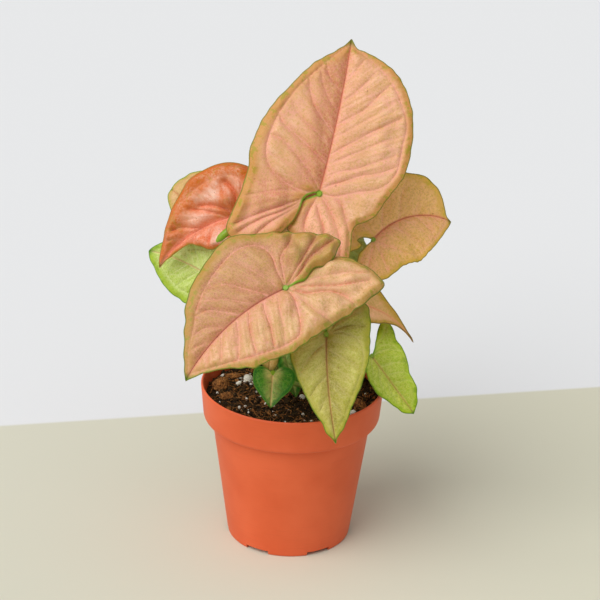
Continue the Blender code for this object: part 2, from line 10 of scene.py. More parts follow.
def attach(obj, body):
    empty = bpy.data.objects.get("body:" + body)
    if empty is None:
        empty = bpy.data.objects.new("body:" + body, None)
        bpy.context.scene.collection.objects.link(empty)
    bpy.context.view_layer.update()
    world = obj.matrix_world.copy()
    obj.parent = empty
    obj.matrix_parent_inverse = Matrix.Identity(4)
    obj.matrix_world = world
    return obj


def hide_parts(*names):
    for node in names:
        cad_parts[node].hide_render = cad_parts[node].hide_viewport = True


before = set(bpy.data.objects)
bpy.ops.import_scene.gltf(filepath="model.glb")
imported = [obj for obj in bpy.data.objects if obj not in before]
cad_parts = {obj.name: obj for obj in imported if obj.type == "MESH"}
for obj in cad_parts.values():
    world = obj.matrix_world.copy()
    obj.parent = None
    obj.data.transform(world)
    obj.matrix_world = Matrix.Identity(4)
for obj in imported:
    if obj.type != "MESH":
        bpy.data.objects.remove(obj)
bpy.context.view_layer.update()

# The looks of a potted syngonium. Lengths are in millimetres and angles in
# degrees. The leaves' places and most of their outlines repeat the values that
# the solids were made from. The blades here have finer meshes, veins and real
# thickness, and the tip of the rolled leaf stands higher.

MM = 0.001
BODY = "root"

# Camera: the point that it looks at, and its distance, height and roll
CAMERA_AIM = (3.0, -1.3, 147.1)
CAMERA_DISTANCE = 1300.0
CAMERA_ELEVATION = 24.0
CAMERA_ROLL = 1.66
CAMERA_LENS = 138.12
CAMERA_SENSOR = 36.0

# Lights: turn from -Y towards +X, height above level, strength and softness
SUNS = {"key": (-48.0, 46.0, 2.22, 56.0), "top": (15.0, 62.0, 0.40, 60.0)}
SKY_STRENGTH = 0.37

# Floor: how far behind the pot's axis the beige sheet ends, how soft that edge
# is and how it slants
SHEET_END = 157.0
SHEET_EDGE = 2.0
SHEET_SLANT = 0.21
FLOOR_REACH = 15000.0

# Pot
POT_HEIGHT = 95.0
POT_TOP_RADIUS = 52.5
POT_BAND_BOTTOM = 74.0
POT_BAND_RADIUS = 50.9
POT_NECK_RADIUS = 45.6
POT_BASE_RADIUS = 35.8
POT_WALL = 1.6
POT_LIP_ROUND = 0.7
POT_BAND_ROUND = 2.6
POT_FOOT_WIDTH = 3.0
POT_FOOT_ROUND = 1.0
POT_CHANNEL_WIDTH = 9.0
POT_CHANNEL_RISE = 3.0
POT_CHANNEL_SLOPE = 1.2
POT_EDGE_ROUND = 0.8
POT_SEGMENTS = 240
DRAIN_HOLES = 6
DRAIN_HOLE_RADIUS = 3.0
FOOT_NOTCH_SIZE = (14.5, 12.0, 2.4)   # across, inwards and up
FOOT_NOTCH_TURN = 30.0                # from -Y to the first notch

# Soil
SOIL_TOP = 86.0
SOIL_STEP = 0.75
SOIL_SEGMENTS = 288
SOIL_ROUGH = 0.22              # how far single points stray up and down
CRUMBS = 2600
BARK_CRUMB_EVERY = 9
FIBRES = 420
SMALL_GRAINS = 110
HEAP = (-27.0, 16.0)          # where more white grains lie together
HEAP_SPREAD = 3.6
HEAP_GRAINS = 20

# Loose pieces lying on the soil: place, half sizes and turn about +Z
BARK_CHIPS = {
    "bark_chip_left": ((-41.0, 9.0), (5.5, 4.4, 3.0), 75.0),
    "bark_chip_long": ((-36.0, 20.5), (5.5, 2.2, 1.7), -15.0),
    "bark_chip_tan": ((-38.0, -5.0), (4.5, 2.4, 1.6), 20.0),
    "bark_chip_right": ((38.0, -10.0), (5.5, 3.0, 2.0), -35.0),
    "bark_chip_back": ((8.0, 40.0), (6.5, 4.0, 2.4), 15.0),
}
PERLITE_GRAINS = {
    "perlite_left_large": ((-26.0, 17.5), (3.0, 2.8, 2.2), 20.0),
    "perlite_left_small": ((-31.0, 12.0), (1.8, 1.6, 1.4), 70.0),
    "perlite_middle": ((5.7, -3.9), (1.9, 1.6, 1.6), 10.0),
    "perlite_right": ((35.0, -21.0), (1.8, 1.5, 1.3), 40.0),
}

# Leaf blades and their stalks
SOLID_THICKNESS = 0.8          # of the solids' blades, which the stalks' ends allow for
BLADE_THICKNESS = 0.36
BLADE_STEP = 0.65
RIM_SAMPLES = 1600
STALK_SIDES = 14
STALK_TIP_RADIUS = 1.0
STALK_FOOT_RADIUS = 1.7
CROWN_RADIUS = 4.0
STALK_SPREAD = 1.1
STALK_RISE = 0.45              # share of its height that a stalk first rises upright
CROWN_SIDES = 28
CROWN_PROFILE = [              # height over the soil, and radius past the crown's own
    (-14, -0.6), (-6, -0.2), (-2, 0), (1, 0), (3, -0.2), (6, -0.8), (8, -1.6), (9.5, -2.6),
]
GAP = 0.3

# Relief of the blades: how wide and how deep their veins and waves are
FULL_LENGTH = 55.0             # shorter blades have finer veins and less relief
PAIRS_AT_ONCE = 2_000_000      # point and line pairs that are compared in one go
RIM_WAVE = 0.24
RIM_WAVELENGTH = 8.0
RIB_WIDTH = 0.5
VEIN_WIDTH = 0.4
HALO_WIDTH = 1.5
# width of the painted shade along one side of a vein
VEIN_SIDE_SHADING_WIDTH = 2.6
GROOVE_WIDTH = 0.55
GROOVE_DEPTH = 0.22
TROUGH_WIDTH = 2.4
KEEL_DEPTH = 1.5
RIDGE_HEIGHT = 0.35
# Veins of a plain lobe: how far round it each ends, and its strength
LOBE_VEINS = [(0.02, 0.5), (0.2, 0.3), (0.36, 0.75), (0.52, 1.0), (0.7, 0.5), (0.88, 0.7)]

# Half of the plain arrowhead outline, as shares of the leaf's length
PLAIN_HALF = [
    (0.12, 0.86), (0.29, 0.66), (0.39, 0.42), (0.42, 0.16), (0.41, -0.08),
    (0.37, -0.28), (0.27, -0.36), (0.16, -0.29), (0.06, -0.13),
]


def srgb(red, green, blue):
    """A linear colour from the usual 0 to 255 values."""
    parts = [c / 255 for c in (red, green, blue)]
    return tuple(c / 12.92 if c < 0.04 else ((c + 0.055) / 1.055) ** 2.4 for c in parts)


# How leaves are coloured. field: by the veins. panel: where the blade puffs up
# between them, partly the blade's own paler tissue and partly a painted
# highlight on the puffs. mottle and speck: coarse and fine patches. centre: near
# the rib. border: outside the vein that follows the edge, with blotches in it.
# edge: the last half millimetre. veins and rib: the side veins and the middle
# one. lobe: the far ends of the left and the right lobe, partly their own tint
# and partly painted light where the drooping lobes get less light. under: the
# lower face. show: how strongly the side veins stand out. mottling: how much
# mottle there is. shade: the colour of painted shading beside the side veins and
# over a half, partly also the blade's own darker tint; on olive it is paler than
# the field and is painted light. half_tint_and_shading: how far the shade colour
# covers the left and the right half, and spread: how evenly. band: the width of
# the border on both halves. hub: how green the blade is just round its stalk,
# and glow: how far the colour of the centre spreads from there. quilt and
# crumple: how far the blade puffs up between its veins and swings up and down,
# in millimetres.
PINK_LOOK = dict(
    field=srgb(234, 174, 144), panel=srgb(242, 196, 152), mottle=srgb(222, 170, 114),
    speck=srgb(196, 156, 80), centre=srgb(226, 154, 124), shade=srgb(188, 100, 62),
    border=srgb(202, 144, 70), blotch=srgb(168, 150, 40), edge=srgb(116, 118, 28),
    veins=srgb(242, 176, 156), rib=srgb(206, 112, 84),
    lobe=(srgb(254, 180, 150), srgb(255, 190, 156)), under=srgb(222, 166, 134), show=0.7,
    mottling=1.0, half_tint_and_shading=(0.95, 0.0), spread=0.15, band=(1.0, 0.7), hub=1.0, glow=0.0,
    quilt=1.6, crumple=0.3)
DARK_LOOK = dict(
    PINK_LOOK, field=srgb(44, 128, 2), panel=srgb(68, 150, 12), mottle=srgb(18, 88, 2),
    speck=srgb(24, 92, 2), centre=srgb(236, 212, 130), shade=srgb(20, 86, 2),
    border=srgb(30, 110, 2), blotch=srgb(34, 116, 4), edge=srgb(84, 132, 26),
    veins=srgb(140, 186, 70), rib=srgb(244, 206, 150), lobe=[srgb(46, 130, 4)] * 2,
    under=srgb(110, 140, 70), show=0.4, mottling=0.7, half_tint_and_shading=(0.0, 0.0), hub=0.0, glow=0.8, quilt=0.8)
LOOKS = {
    "pink": PINK_LOOK,
    "dusty": dict(
        PINK_LOOK, field=srgb(218, 160, 128), panel=srgb(236, 198, 148), mottle=srgb(196, 152, 84),
        speck=srgb(188, 156, 84), centre=srgb(220, 146, 118), shade=srgb(172, 116, 74),
        border=srgb(184, 142, 66), blotch=srgb(150, 148, 44), edge=srgb(90, 116, 18),
        lobe=(srgb(232, 186, 140), srgb(192, 190, 78)), veins=srgb(242, 174, 152),
        rib=srgb(156, 74, 56), show=0.85, mottling=0.9, half_tint_and_shading=(0.0, 1.0), spread=1.0,
        band=(0.9, 1.0), quilt=1.9, crumple=0.4),
    # coral: the panel colour is mostly a painted highlight on the puffed facets, and the shade colour
    # painted shade in the furrows.
    "coral": dict(
        PINK_LOOK, field=srgb(224, 110, 48), panel=srgb(255, 226, 206), mottle=srgb(206, 94, 26),
        speck=srgb(208, 122, 56), centre=srgb(244, 166, 136), shade=srgb(192, 66, 8),
        border=srgb(198, 100, 10), blotch=srgb(170, 134, 10), edge=srgb(146, 120, 40),
        veins=srgb(250, 190, 164), rib=srgb(250, 180, 154), lobe=[srgb(236, 128, 78)] * 2,
        show=0.6, mottling=0.5, half_tint_and_shading=(0.35, 0.0), spread=0.6, band=(0.4, 3.2), quilt=4.0,
        crumple=0.5),
    # olive: the shade colour is paler than the field. It is painted light over the left half, which
    # faces the light less, and beside the veins.
    "olive": dict(
        PINK_LOOK, field=srgb(238, 170, 120), panel=srgb(242, 190, 122), mottle=srgb(220, 176, 78),
        speck=srgb(200, 162, 56), centre=srgb(244, 170, 130), shade=srgb(254, 212, 112),
        border=srgb(224, 180, 70), blotch=srgb(200, 176, 44), edge=srgb(130, 120, 34),
        veins=srgb(252, 190, 156), rib=srgb(206, 112, 80), lobe=[srgb(244, 182, 126)] * 2,
        show=0.8, mottling=1.0, half_tint_and_shading=(0.6, 0.0), spread=0.9, hub=0.2, quilt=1.3),
    "tan": dict(
        PINK_LOOK, field=srgb(240, 186, 140), panel=srgb(238, 188, 138), mottle=srgb(214, 168, 96),
        speck=srgb(200, 164, 80), centre=srgb(238, 180, 134), shade=srgb(190, 160, 62),
        border=srgb(188, 146, 44), blotch=srgb(170, 150, 30), edge=srgb(116, 100, 24),
        veins=srgb(244, 180, 142), rib=srgb(226, 160, 112), lobe=[srgb(236, 184, 134)] * 2,
        show=0.5, mottling=0.8, half_tint_and_shading=(0.9, 0.0), spread=1.0, quilt=0.4),
    "bud": dict(
        PINK_LOOK, field=srgb(220, 184, 104), panel=srgb(226, 192, 114), mottle=srgb(190, 158, 74),
        speck=srgb(170, 146, 56), centre=srgb(224, 186, 118), border=srgb(150, 130, 44),
        blotch=srgb(130, 126, 30), edge=srgb(70, 90, 16), veins=srgb(226, 190, 118),
        rib=srgb(214, 178, 100), lobe=[srgb(214, 180, 104)] * 2, show=0.1, mottling=0.8,
        half_tint_and_shading=(0.0, 0.0), band=(1.4, 1.4), hub=0.0, quilt=0.8),
    "cream": dict(
        PINK_LOOK, field=srgb(216, 176, 116), panel=srgb(222, 188, 128), mottle=srgb(196, 166, 86),
        speck=srgb(176, 154, 66), centre=srgb(222, 172, 124), border=srgb(196, 164, 80),
        blotch=srgb(168, 158, 50), edge=srgb(118, 146, 30), veins=srgb(226, 182, 136),
        rib=srgb(206, 150, 104), lobe=[srgb(220, 182, 122)] * 2, show=0.5, mottling=0.8,
        half_tint_and_shading=(0.0, 0.0), hub=0.0, quilt=0.8),
    "pale_green": dict(
        PINK_LOOK, field=srgb(194, 186, 88), panel=srgb(212, 208, 112), mottle=srgb(172, 168, 48),
        speck=srgb(158, 160, 42), centre=srgb(200, 182, 100), shade=srgb(124, 116, 10),
        border=srgb(172, 168, 48), blotch=srgb(140, 152, 28), edge=srgb(96, 124, 20),
        veins=srgb(222, 208, 140), rib=srgb(168, 92, 60), lobe=[srgb(204, 198, 100)] * 2,
        under=srgb(160, 176, 96), show=0.7, mottling=0.7, half_tint_and_shading=(0.85, 0.0), spread=0.1,
        quilt=2.0, crumple=0.5),
    "green": dict(
        PINK_LOOK, field=srgb(200, 220, 100), panel=srgb(230, 240, 156), mottle=srgb(168, 194, 46),
        speck=srgb(146, 176, 34), centre=srgb(222, 228, 150), shade=srgb(146, 170, 24),
        border=srgb(154, 180, 40), blotch=srgb(116, 154, 22), edge=srgb(86, 130, 20),
        veins=srgb(226, 232, 168), rib=srgb(212, 166, 124), lobe=[srgb(222, 234, 138)] * 2,
        under=srgb(150, 180, 90), show=0.8, mottling=0.8, half_tint_and_shading=(0.8, 0.0), spread=1.0,
        quilt=1.4, crumple=0.5),
    "fresh_green": dict(
        PINK_LOOK, field=srgb(200, 218, 58), panel=srgb(226, 236, 96), mottle=srgb(170, 198, 24),
        speck=srgb(150, 182, 14), centre=srgb(214, 204, 84), shade=srgb(150, 176, 12),
        border=srgb(176, 204, 30), blotch=srgb(132, 170, 12), edge=srgb(98, 140, 16),
        veins=srgb(232, 232, 140), rib=srgb(206, 166, 100), lobe=[srgb(214, 228, 78)] * 2,
        under=srgb(150, 180, 90), show=0.8, mottling=1.0, half_tint_and_shading=(0.8, 0.0), spread=0.4,
        quilt=1.8, crumple=0.6),
    "dark_green": DARK_LOOK,
    "deep_green": dict(DARK_LOOK, rib=srgb(150, 170, 80), veins=srgb(90, 140, 40), glow=0.0),
}
HUB_GREEN = srgb(112, 160, 24)
FLECK_BROWN = srgb(140, 76, 44)


def leaf(at, face, clock, length, left, right, look, lean=(0.0, 0.0),
         arch=12.0, droop=4.0, sweep=0.0, fold=8.0, curl=-14.0, wave=1.0, waves=3.0,
         lap=(0.0, 0.0), frill=(0.0, 0.0)):
    """The sizes of one leaf.

    at: where the stalk meets the blade. face: the way the upper face looks, as
    the turn from -Y towards +X and the tilt above level. clock: the way the tip
    points in that face, 0 up and 90 to the right. left and right: the edge on
    each side from tip to stalk, as distance across and along from the stalk.
    arch bends the rib over its length, droop the lobes behind the stalk, sweep
    the rib sideways. fold lifts each half, curl turns its edge down again.
    lean shapes the stalk. lap lifts the left and the right lobe, where
    one lies over the other. frill roughens the left and the right lobe.
    """
    return dict(at=at, face=face, clock=clock, length=length, left=left, right=right,
                look=look, lean=lean, arch=arch, droop=droop, sweep=sweep,
                fold=fold, curl=curl, wave=wave, waves=waves, lap=lap, frill=frill)


def plain_leaf(at, face, clock, length, look, **bends):
    """A leaf with the plain arrowhead outline on both sides."""
    half = [(x * length, y * length) for x, y in PLAIN_HALF]
    return leaf(at, face, clock, length, half, half, look, **bends)


LEAVES = {
    "leaf_top": leaf(
        (12, 6, 209), (4, 26), 12, 89,
        [(4, 84), (11, 78), (19, 71), (30, 55), (37, 43), (42, 28), (43.5, 14), (42, 2), (43, -12),
         (44, -34), (32, -37.5), (17, -29), (9, -15), (8, -5), (4, -1)],
        [(4, 84), (10, 82), (26, 75), (38, 60), (42, 49), (44, 38), (44, 23), (38, 7),
         (32, -6), (24, -13), (25, -24), (25, -34), (16, -36), (0, -31), (-12, -23), (-10.5, -14),
         (-8.4, -6.5), (-3.5, -2.6)],
        "pink", arch=10.0, sweep=-6.0, lap=(1.3, 0.0)),
    "leaf_right": leaf(
        (44, 24, 175), (20, 32), 84, 53,
        [(2, 49), (8, 46), (14, 43), (22, 36), (26, 28), (35, 16), (38, 4), (35, -10),
         (24, -20), (10, -18), (4, -12), (3, -7), (7, -7), (5, -3)],
        [(4, 52), (14, 47), (19, 42), (26, 25), (24, 5), (22, -4), (20, -12), (16, -18),
         (8, -21), (2, -18), (-1, -12), (-1, -6)],
        "olive", arch=14.0, sweep=72.0, curl=-10.0, lean=(6.0, 16.0)),
    "leaf_front": leaf(
        (-5, -50, 176), (-6, 40), -139, 76,
        [(8, 66), (17, 56), (27, 46), (30, 36), (34, 16), (30, -14), (27, -32), (21, -50),
         (13, -49), (0, -41), (-7, -31), (-6, -20), (-2, -11), (-0.4, -5)],
        [(13, 58), (27, 42), (34, 29), (38, 19), (40, 12), (36, 3), (28, -14), (20, -29),
         (14, -38), (10, -39), (4, -31), (1.5, -24), (2.2, -18),
         (-0.6, -12), (-0.2, -6)],
        "dusty", arch=26.0, sweep=-32.0, curl=-16.0, lap=(0.0, 2.2), frill=(0.1, 1.0)),
    "leaf_left": leaf(
        (-36, 18, 189), (-22, 26), -133, 55,
        [(3, 40), (5, 30), (14, 20), (16, 8), (14, -6), (9, -16), (3, -8)],
        [(4, 48), (9, 40), (20, 26), (27, 17), (30, 8), (31, -2), (25, -15), (12, -23), (4, -12)],
        "coral", arch=18.0, sweep=-40.0, fold=14.0, curl=-16.0, lean=(2.0, 30.0)),
    "leaf_left_back": leaf(
        (-55, 38, 182), (-16, 30), -60, 24,
        [(4, 23), (8, 18), (13, 8), (15, 0), (11, -10), (4, -7)],
        [(3, 24), (10, 22), (17, 18), (22, 10), (20, -6), (13, -12), (4, -7)],
        "cream", arch=14.0, curl=-10.0, wave=0.6, lean=(0.0, 22.0)),
    "leaf_left_low": leaf(
        (-33, 5, 144), (-28, 24), -77, 66,
        [(6, 62), (15, 50), (20, 38), (20, 24), (18, 12), (15, -2), (9, -9), (3, -7)],
        [(4, 61), (8, 54), (12, 44), (19, 28), (24, 14), (26, 1), (20, -12), (7, -8)],
        "green", arch=16.0, sweep=-33.0, fold=10.0, curl=-16.0),
    "leaf_front_low": leaf(
        (18, -46, 147), (4, 26), 175, 61,
        [(1, 58), (6, 52), (12, 41), (18, 30), (22, 19), (24, 6), (24, -7), (22, -17),
         (15, -18), (6, -13), (-0.4, -5)],
        [(4, 54), (6, 48), (10, 40), (14, 30), (18, 20), (20, 10), (19, 3), (14, -5), (6, -8),
         (1.0, -4)],
        "pale_green", arch=24.0, sweep=-13.0),
    "leaf_right_low": leaf(
        (45, -4, 115), (20, 40), 154, 41,
        [(5, 37), (10, 30), (12, 21), (16, 12), (18, 0), (20, -9), (18, -14), (11, -10),
         (5, -4)],
        [(5, 37), (8, 30), (10, 24), (12, 18), (11, 11), (9, 6), (6, 0), (2, -2)],
        "fresh_green", arch=16.0, sweep=-7.0, fold=10.0, wave=0.8),
    "leaf_right_small": leaf(
        (29, 8, 143), (20, 44), 130, 48,
        [(0.5, 45), (1.0, 40), (3.0, 32), (8, 21), (12, 15), (14, 8), (13, -4), (9, -14), (3, -7)],
        [(0.5, 44), (1.0, 39), (3.4, 31), (10, 18), (12, 8), (12, -4), (8, -14), (3, -7)],
        "tan", arch=40.0, sweep=44.0, fold=6.0, wave=0.6),
    "leaf_soil_dark": leaf(
        (-11, -26, 113), (-4, 34), 180, 20,
        [(2, 18.5), (6.5, 13.5), (11, 8.5), (13, 3), (12, -1), (8, -3.5), (4, -3)],
        [(2, 18), (7.5, 11.5), (11, 5), (10.5, -1), (7, -3.3), (3, -2)],
        "dark_green", arch=10.0, curl=-10.0, wave=0.3),
    "leaf_soil_olive": leaf(
        (-13, -16, 122), (-6, 30), 178, 12,
        [(3, 11), (5, 7), (5, 3), (3, -2)],
        [(2, 11), (5, 7), (5, 3), (3, -2)],
        "bud", arch=4.0, droop=0.0, fold=4.0, curl=-10.0, wave=0.0),
    "leaf_soil_hidden": leaf(
        (-5, 0, 114), (8, 30), 168, 27,
        [(3, 24), (5, 20), (5, 13), (6, 6), (6, 0), (3, -2)],
        [(2, 24), (5, 18), (6, 9), (6, 2), (2, -2)],
        "deep_green", arch=10.0, droop=0.0, curl=-10.0, wave=0.4),
    "leaf_back_high": plain_leaf((-2, 42, 198), (-172, 30), 186, 54, "dusty"),
    "leaf_back_tall": plain_leaf((20, 44, 170), (155, 30), 176, 52, "pale_green"),
    "leaf_back_left": plain_leaf((-14, 40, 150), (-155, 28), 184, 46, "green"),
    "leaf_back_right": plain_leaf((21, 40, 124), (140, 34), 172, 40, "green"),
}

# The main veins of the leaves that show best, on the left and on the right half:
# how strong each is, and its course from the stalk or the rib outwards. The
# first of each half follows the edge.
MAIN_VEINS = {
    "leaf_top": (
        [(0.9, [(0, 0), (10, -1), (22, 2), (31, 8), (35, 17), (34, 32), (31, 43), (26, 54),
                (20, 63), (12, 73), (5, 81), (0, 86)]),
         (0.9, [(0, 2), (8, 10), (18, 18), (27, 24), (34, 26)]),
         (1.0, [(0, 17), (12, 24), (21, 29), (29, 34), (33, 40)]),
         (0.6, [(0, 27), (10, 33), (21, 40), (28, 49)]),
         (1.0, [(0, 34), (9, 42), (14, 47), (18, 55), (20, 63)]),
         (0.6, [(0, 46), (7, 53), (12, 61), (15, 70)]),
         (0.9, [(0, 58), (6, 62), (10, 67), (12, 73)]),
         (0.5, [(0, 0), (10, 7), (20, 12), (33, 15)]),
         (0.5, [(0, 0), (11, -2), (18, -3), (28, -6), (40, -12)]),
         (1.0, [(0, 0), (9, -6), (17, -11), (29, -19), (41, -28)]),
         (1.0, [(3, -1), (10, -8), (18, -15), (28, -22), (38, -32)]),
         (0.8, [(9, -9), (14, -14), (22, -22), (30, -33)])],
        [(0.9, [(0, 0), (5, 0), (10, 1), (20, 6), (30, 10), (36, 15), (39, 22), (39, 36), (39, 46),
                (34, 57), (26, 68), (16, 76), (6, 82), (0, 86)]),
         (1.0, [(0, 2), (5, 6), (10, 9), (20, 15), (30, 19), (38, 24)]),
         (0.7, [(0, 9), (7, 14), (16, 18), (26, 24), (36, 30)]),
         (0.6, [(0, 15), (8, 22), (18, 29), (28, 36), (38, 41)]),
         (1.0, [(0, 22), (8, 29), (16, 36), (25, 43), (35, 50)]),
         (0.5, [(0, 31), (8, 38), (17, 46), (28, 56)]),
         (0.9, [(0, 39), (8, 46), (14, 51), (21, 61), (26, 67)]),
         (0.6, [(0, 52), (7, 59), (13, 67), (17, 74)]),
         (0.6, [(0, 65), (5, 71), (9, 78)]),
         (0.9, [(10, 0), (14, -3), (17, -8), (22, -17), (24, -27)]),
         (1.0, [(0, 0), (4, -3), (8, -7), (12, -12), (18, -22), (21, -33)]),
         (0.9, [(0, 0), (0, -5), (3, -11), (8, -19), (13, -33)]),
         (1.0, [(0, 0), (-1, -4), (-3, -11), (-3, -20), (3, -29)])]),
    "leaf_front": (
        [(1.0, [(0, 0), (4, -1), (9, -1), (17, 1), (24, 4), (28, 8), (29, 15), (28, 24), (26, 32),
                (22, 42), (16, 52), (8, 63), (0, 72)]),
         (0.6, [(0, 4), (6, 8), (13, 11), (20, 14), (28, 19)]),
         (1.0, [(0, 13), (4, 16), (9, 18), (17, 21), (27, 27)]),
         (0.9, [(0, 24), (4, 26), (9, 30), (16, 34), (24, 39)]),
         (1.0, [(0, 32), (7, 37), (13, 42), (18, 49)]),
         (0.7, [(0, 43), (6, 49), (12, 57)]),
         (0.7, [(0, 54), (5, 61), (7, 65)]),
         (0.6, [(0, 0), (12, -5), (22, -9), (30, -14)]),
         (1.0, [(0, 0), (8, -9), (12, -20), (18, -27), (26, -30)]),
         (0.9, [(0, 0), (7, -16), (12, -29), (16, -43)]),
         (0.6, [(2, -6), (3, -20), (6, -32), (12, -45)])],
        [(0.8, [(0, 0), (10, 0), (20, -1), (28, 3), (31, 11), (29, 20), (24, 33), (19, 42),
                (12, 52), (6, 63), (0, 72)]),
         (0.5, [(0, 3), (10, 8), (20, 13), (30, 18)]),
         (1.0, [(0, 10), (9, 18), (19, 26), (24, 33)]),
         (0.6, [(0, 20), (8, 27), (14, 33), (20, 40)]),
         (0.9, [(0, 29), (7, 35), (14, 41), (16, 46)]),
         (0.8, [(0, 40), (8, 48), (10, 55)]),
         (0.6, [(0, 51), (5, 58), (6, 63)]),
         (0.8, [(0, 0), (10, -3), (16, -5), (20, -11), (26, -18)]),
         (0.8, [(0, 0), (7, -11), (14, -21), (19, -29)]),
         (1.0, [(0, -2), (4, -11), (9, -19), (12, -30), (13, -37)])]),
    "leaf_left": (
        [(0.25, [(0, 0), (8, -3), (12, 3), (12, 12), (8, 22), (3, 31), (0, 42)]),
         (1.0, [(0, 1), (5, 3), (11, 4)]),
         (0.8, [(0, 12), (5, 15), (10, 18)]),
         (0.9, [(0, 22), (3, 26), (6, 28)]),
         (0.7, [(0, 0), (5, -6), (9, -11)])],
        [(0.3, [(0, 0), (9, -6), (17, -9), (22, -5), (23, 4), (21, 13), (17, 24), (13, 30),
                (8, 37), (0, 48)]),
         (1.0, [(0, 0), (4, 2), (9, 9), (11.5, 15)]),
         (0.8, [(0, 4), (4, 8.5), (8, 14), (12, 20)]),
         (0.3, [(0, 12), (4, 17), (8, 25)]),
         (0.9, [(0, 20), (3, 25), (6, 29), (8, 34)]),
         (0.2, [(0, 0), (8, 2), (15, 5), (21, 8)]),
         (1.0, [(0, 0), (9, -4), (15, -3), (20, 0)]),
         (0.4, [(0, 32), (3, 36), (5, 40)])]),
    "leaf_right": (
        [(0.4, [(0, 0), (10, -8), (20, -10), (28, -6), (32, 4), (30, 16), (22, 30), (14, 39),
                (6, 46), (0, 50)]),
         (0.6, [(0, 2), (10, 2), (20, 4), (30, 6)]),
         (0.9, [(0, 8), (5, 10.5), (9, 13), (18, 16), (28, 18)]),
         (0.8, [(0, 19), (5, 21.5), (9.5, 23), (17, 26), (22, 29)]),
         (0.7, [(0, 28), (7.5, 32), (13, 33), (17, 35)]),
         (0.5, [(0, 37), (6, 40), (11, 41)]),
         (0.8, [(0, 0), (8, -5), (16, -9), (24, -12)]),
         (0.6, [(0, 0), (5, -7), (8, -13)])],
        [(0.5, [(0, 0), (8, 1), (16, 6), (20, 14), (22, 24), (18, 36), (12, 44), (0, 50)]),
         (0.9, [(0, 0), (6, 1.5), (14.5, 7), (20, 10)]),
         (0.9, [(0, 12), (6, 17), (10, 21), (16, 28), (20, 32)]),
         (0.5, [(0, 21), (5, 26), (10, 33), (15, 38)]),
         (0.8, [(0, 30), (5, 34), (10, 40)]),
         (0.9, [(0, 0), (7, -3), (12.5, -6), (18, -9)]),
         (1.0, [(0, 0), (4, -8), (9, -17)]),
         (0.8, [(0, 0), (1, -9), (3.5, -18)])]),
    "leaf_front_low": (
        [(0.6, [(0, 0), (9, -1), (17, 3), (20, 10), (19, 20), (14, 32), (7, 46), (0, 56)]),
         (0.5, [(0, 3), (9, 5), (18, 8)]),
         (0.9, [(0, 8), (8, 13), (15, 18), (19, 22)]),
         (0.5, [(0, 16), (7, 21), (14, 27)]),
         (0.8, [(0, 24), (6, 30), (12, 36)]),
         (0.7, [(0, 36), (5, 43), (8, 48)]),
         (1.0, [(0, 0), (4, -5), (8, -9), (13, -13), (18, -16)]),
         (0.8, [(0, 0), (8, -4), (15, -5), (21, -5)])],
        [(0.6, [(0, 0), (8, 1), (14, 5), (17, 12), (15, 22), (11, 33), (5, 46), (0, 56)]),
         (1.0, [(0, 4), (7, 10), (12, 16), (15, 21)]),
         (0.5, [(0, 14), (6, 19), (11, 25)]),
         (0.9, [(0, 23), (6, 28), (10, 33)]),
         (0.6, [(0, 33), (5, 40), (8, 45)]),
         (0.7, [(0, 0), (7, -3), (12, -5)])]),
    "leaf_right_low": (
        [(0.4, [(0, 0), (8, -2), (14, 2), (15, 9), (13, 18), (10, 26), (5, 33), (0, 38)]),
         (0.9, [(0, 0), (4.5, 0.5), (11, 2.5), (15, 7)]),
         (0.8, [(0, 8), (8, 10.5), (14, 14)]),
         (0.6, [(0, 14), (9, 18), (12, 22)]),
         (0.6, [(0, 20), (8, 23), (11, 28)]),
         (0.7, [(0, 0), (6, -4), (12, -6), (17, -10)])],
        [(0.4, [(0, 0), (5, 2), (8, 8), (10, 16), (8, 24), (6, 30), (0, 38)]),
         (0.9, [(0, 0), (4, 5), (6, 9), (9, 14)]),
         (0.9, [(0, 7), (4, 12), (7, 19), (7, 24)]),
         (0.7, [(0, 16), (4, 22), (5, 29)])]),
}
SLOTS = {
    "pink": "leaf_pink", "dusty": "leaf_pink", "coral": "leaf_pink", "olive": "leaf_olive",
    "tan": "leaf_olive", "cream": "leaf_olive", "bud": "leaf_olive", "pale_green": "leaf_green",
    "green": "leaf_green", "fresh_green": "leaf_green", "dark_green": "leaf_dark_green",
    "deep_green": "leaf_dark_green",
}

SHOOTS = {
    "shoot_back": ((6, 14), ("leaf_top", "leaf_back_high", "leaf_back_tall",
                             "leaf_soil_hidden")),
    "shoot_right": ((21, 8), ("leaf_right", "leaf_right_low", "leaf_right_small",
                              "leaf_back_right")),
    "shoot_left": ((-12, 8), ("leaf_left", "leaf_left_back", "leaf_left_low",
                              "leaf_back_left", "leaf_soil_olive")),
    "shoot_front": ((16, -8), ("leaf_front", "leaf_front_low", "leaf_soil_dark")),
}
ROLLED_LEAF_SHOOT = "shoot_back"
ROLLED_LEAF_RINGS = 90
ROLLED_LEAF_ROUTE = [(2, 14, 120), (-4, 11, 155), (-14, 6, 180), (-28, 0, 191), (-38, -2, 188),
                     (-44.5, -3, 182)]
ROLLED_LEAF_RADII = [(0.0, 1.4), (0.65, 1.0), (0.80, 1.7), (0.93, 2.3), (0.98, 2.0), (1.0, 0.7)]


def feed(tree, target, sockets):
    """Set a node's inputs, or link them. A colour is given as three numbers."""
    for name, value in sockets.items():
        socket = target.inputs[name]
        if isinstance(value, bpy.types.NodeSocket):
            tree.links.new(value, socket)
        elif socket.type == "RGBA":
            socket.default_value = (*value, 1.0)
        else:
            socket.default_value = value


def node(tree, kind, sockets=None, **settings):
    """Add a shader node. sockets gives values or links for its inputs."""
    new = tree.nodes.new("ShaderNode" + kind)
    for name, value in settings.items():
        setattr(new, name, value)
    feed(tree, new, sockets or {})
    return new


def attribute(tree, name):
    """The value of a mesh attribute."""
    return node(tree, "Attribute", attribute_name=name).outputs["Fac"]


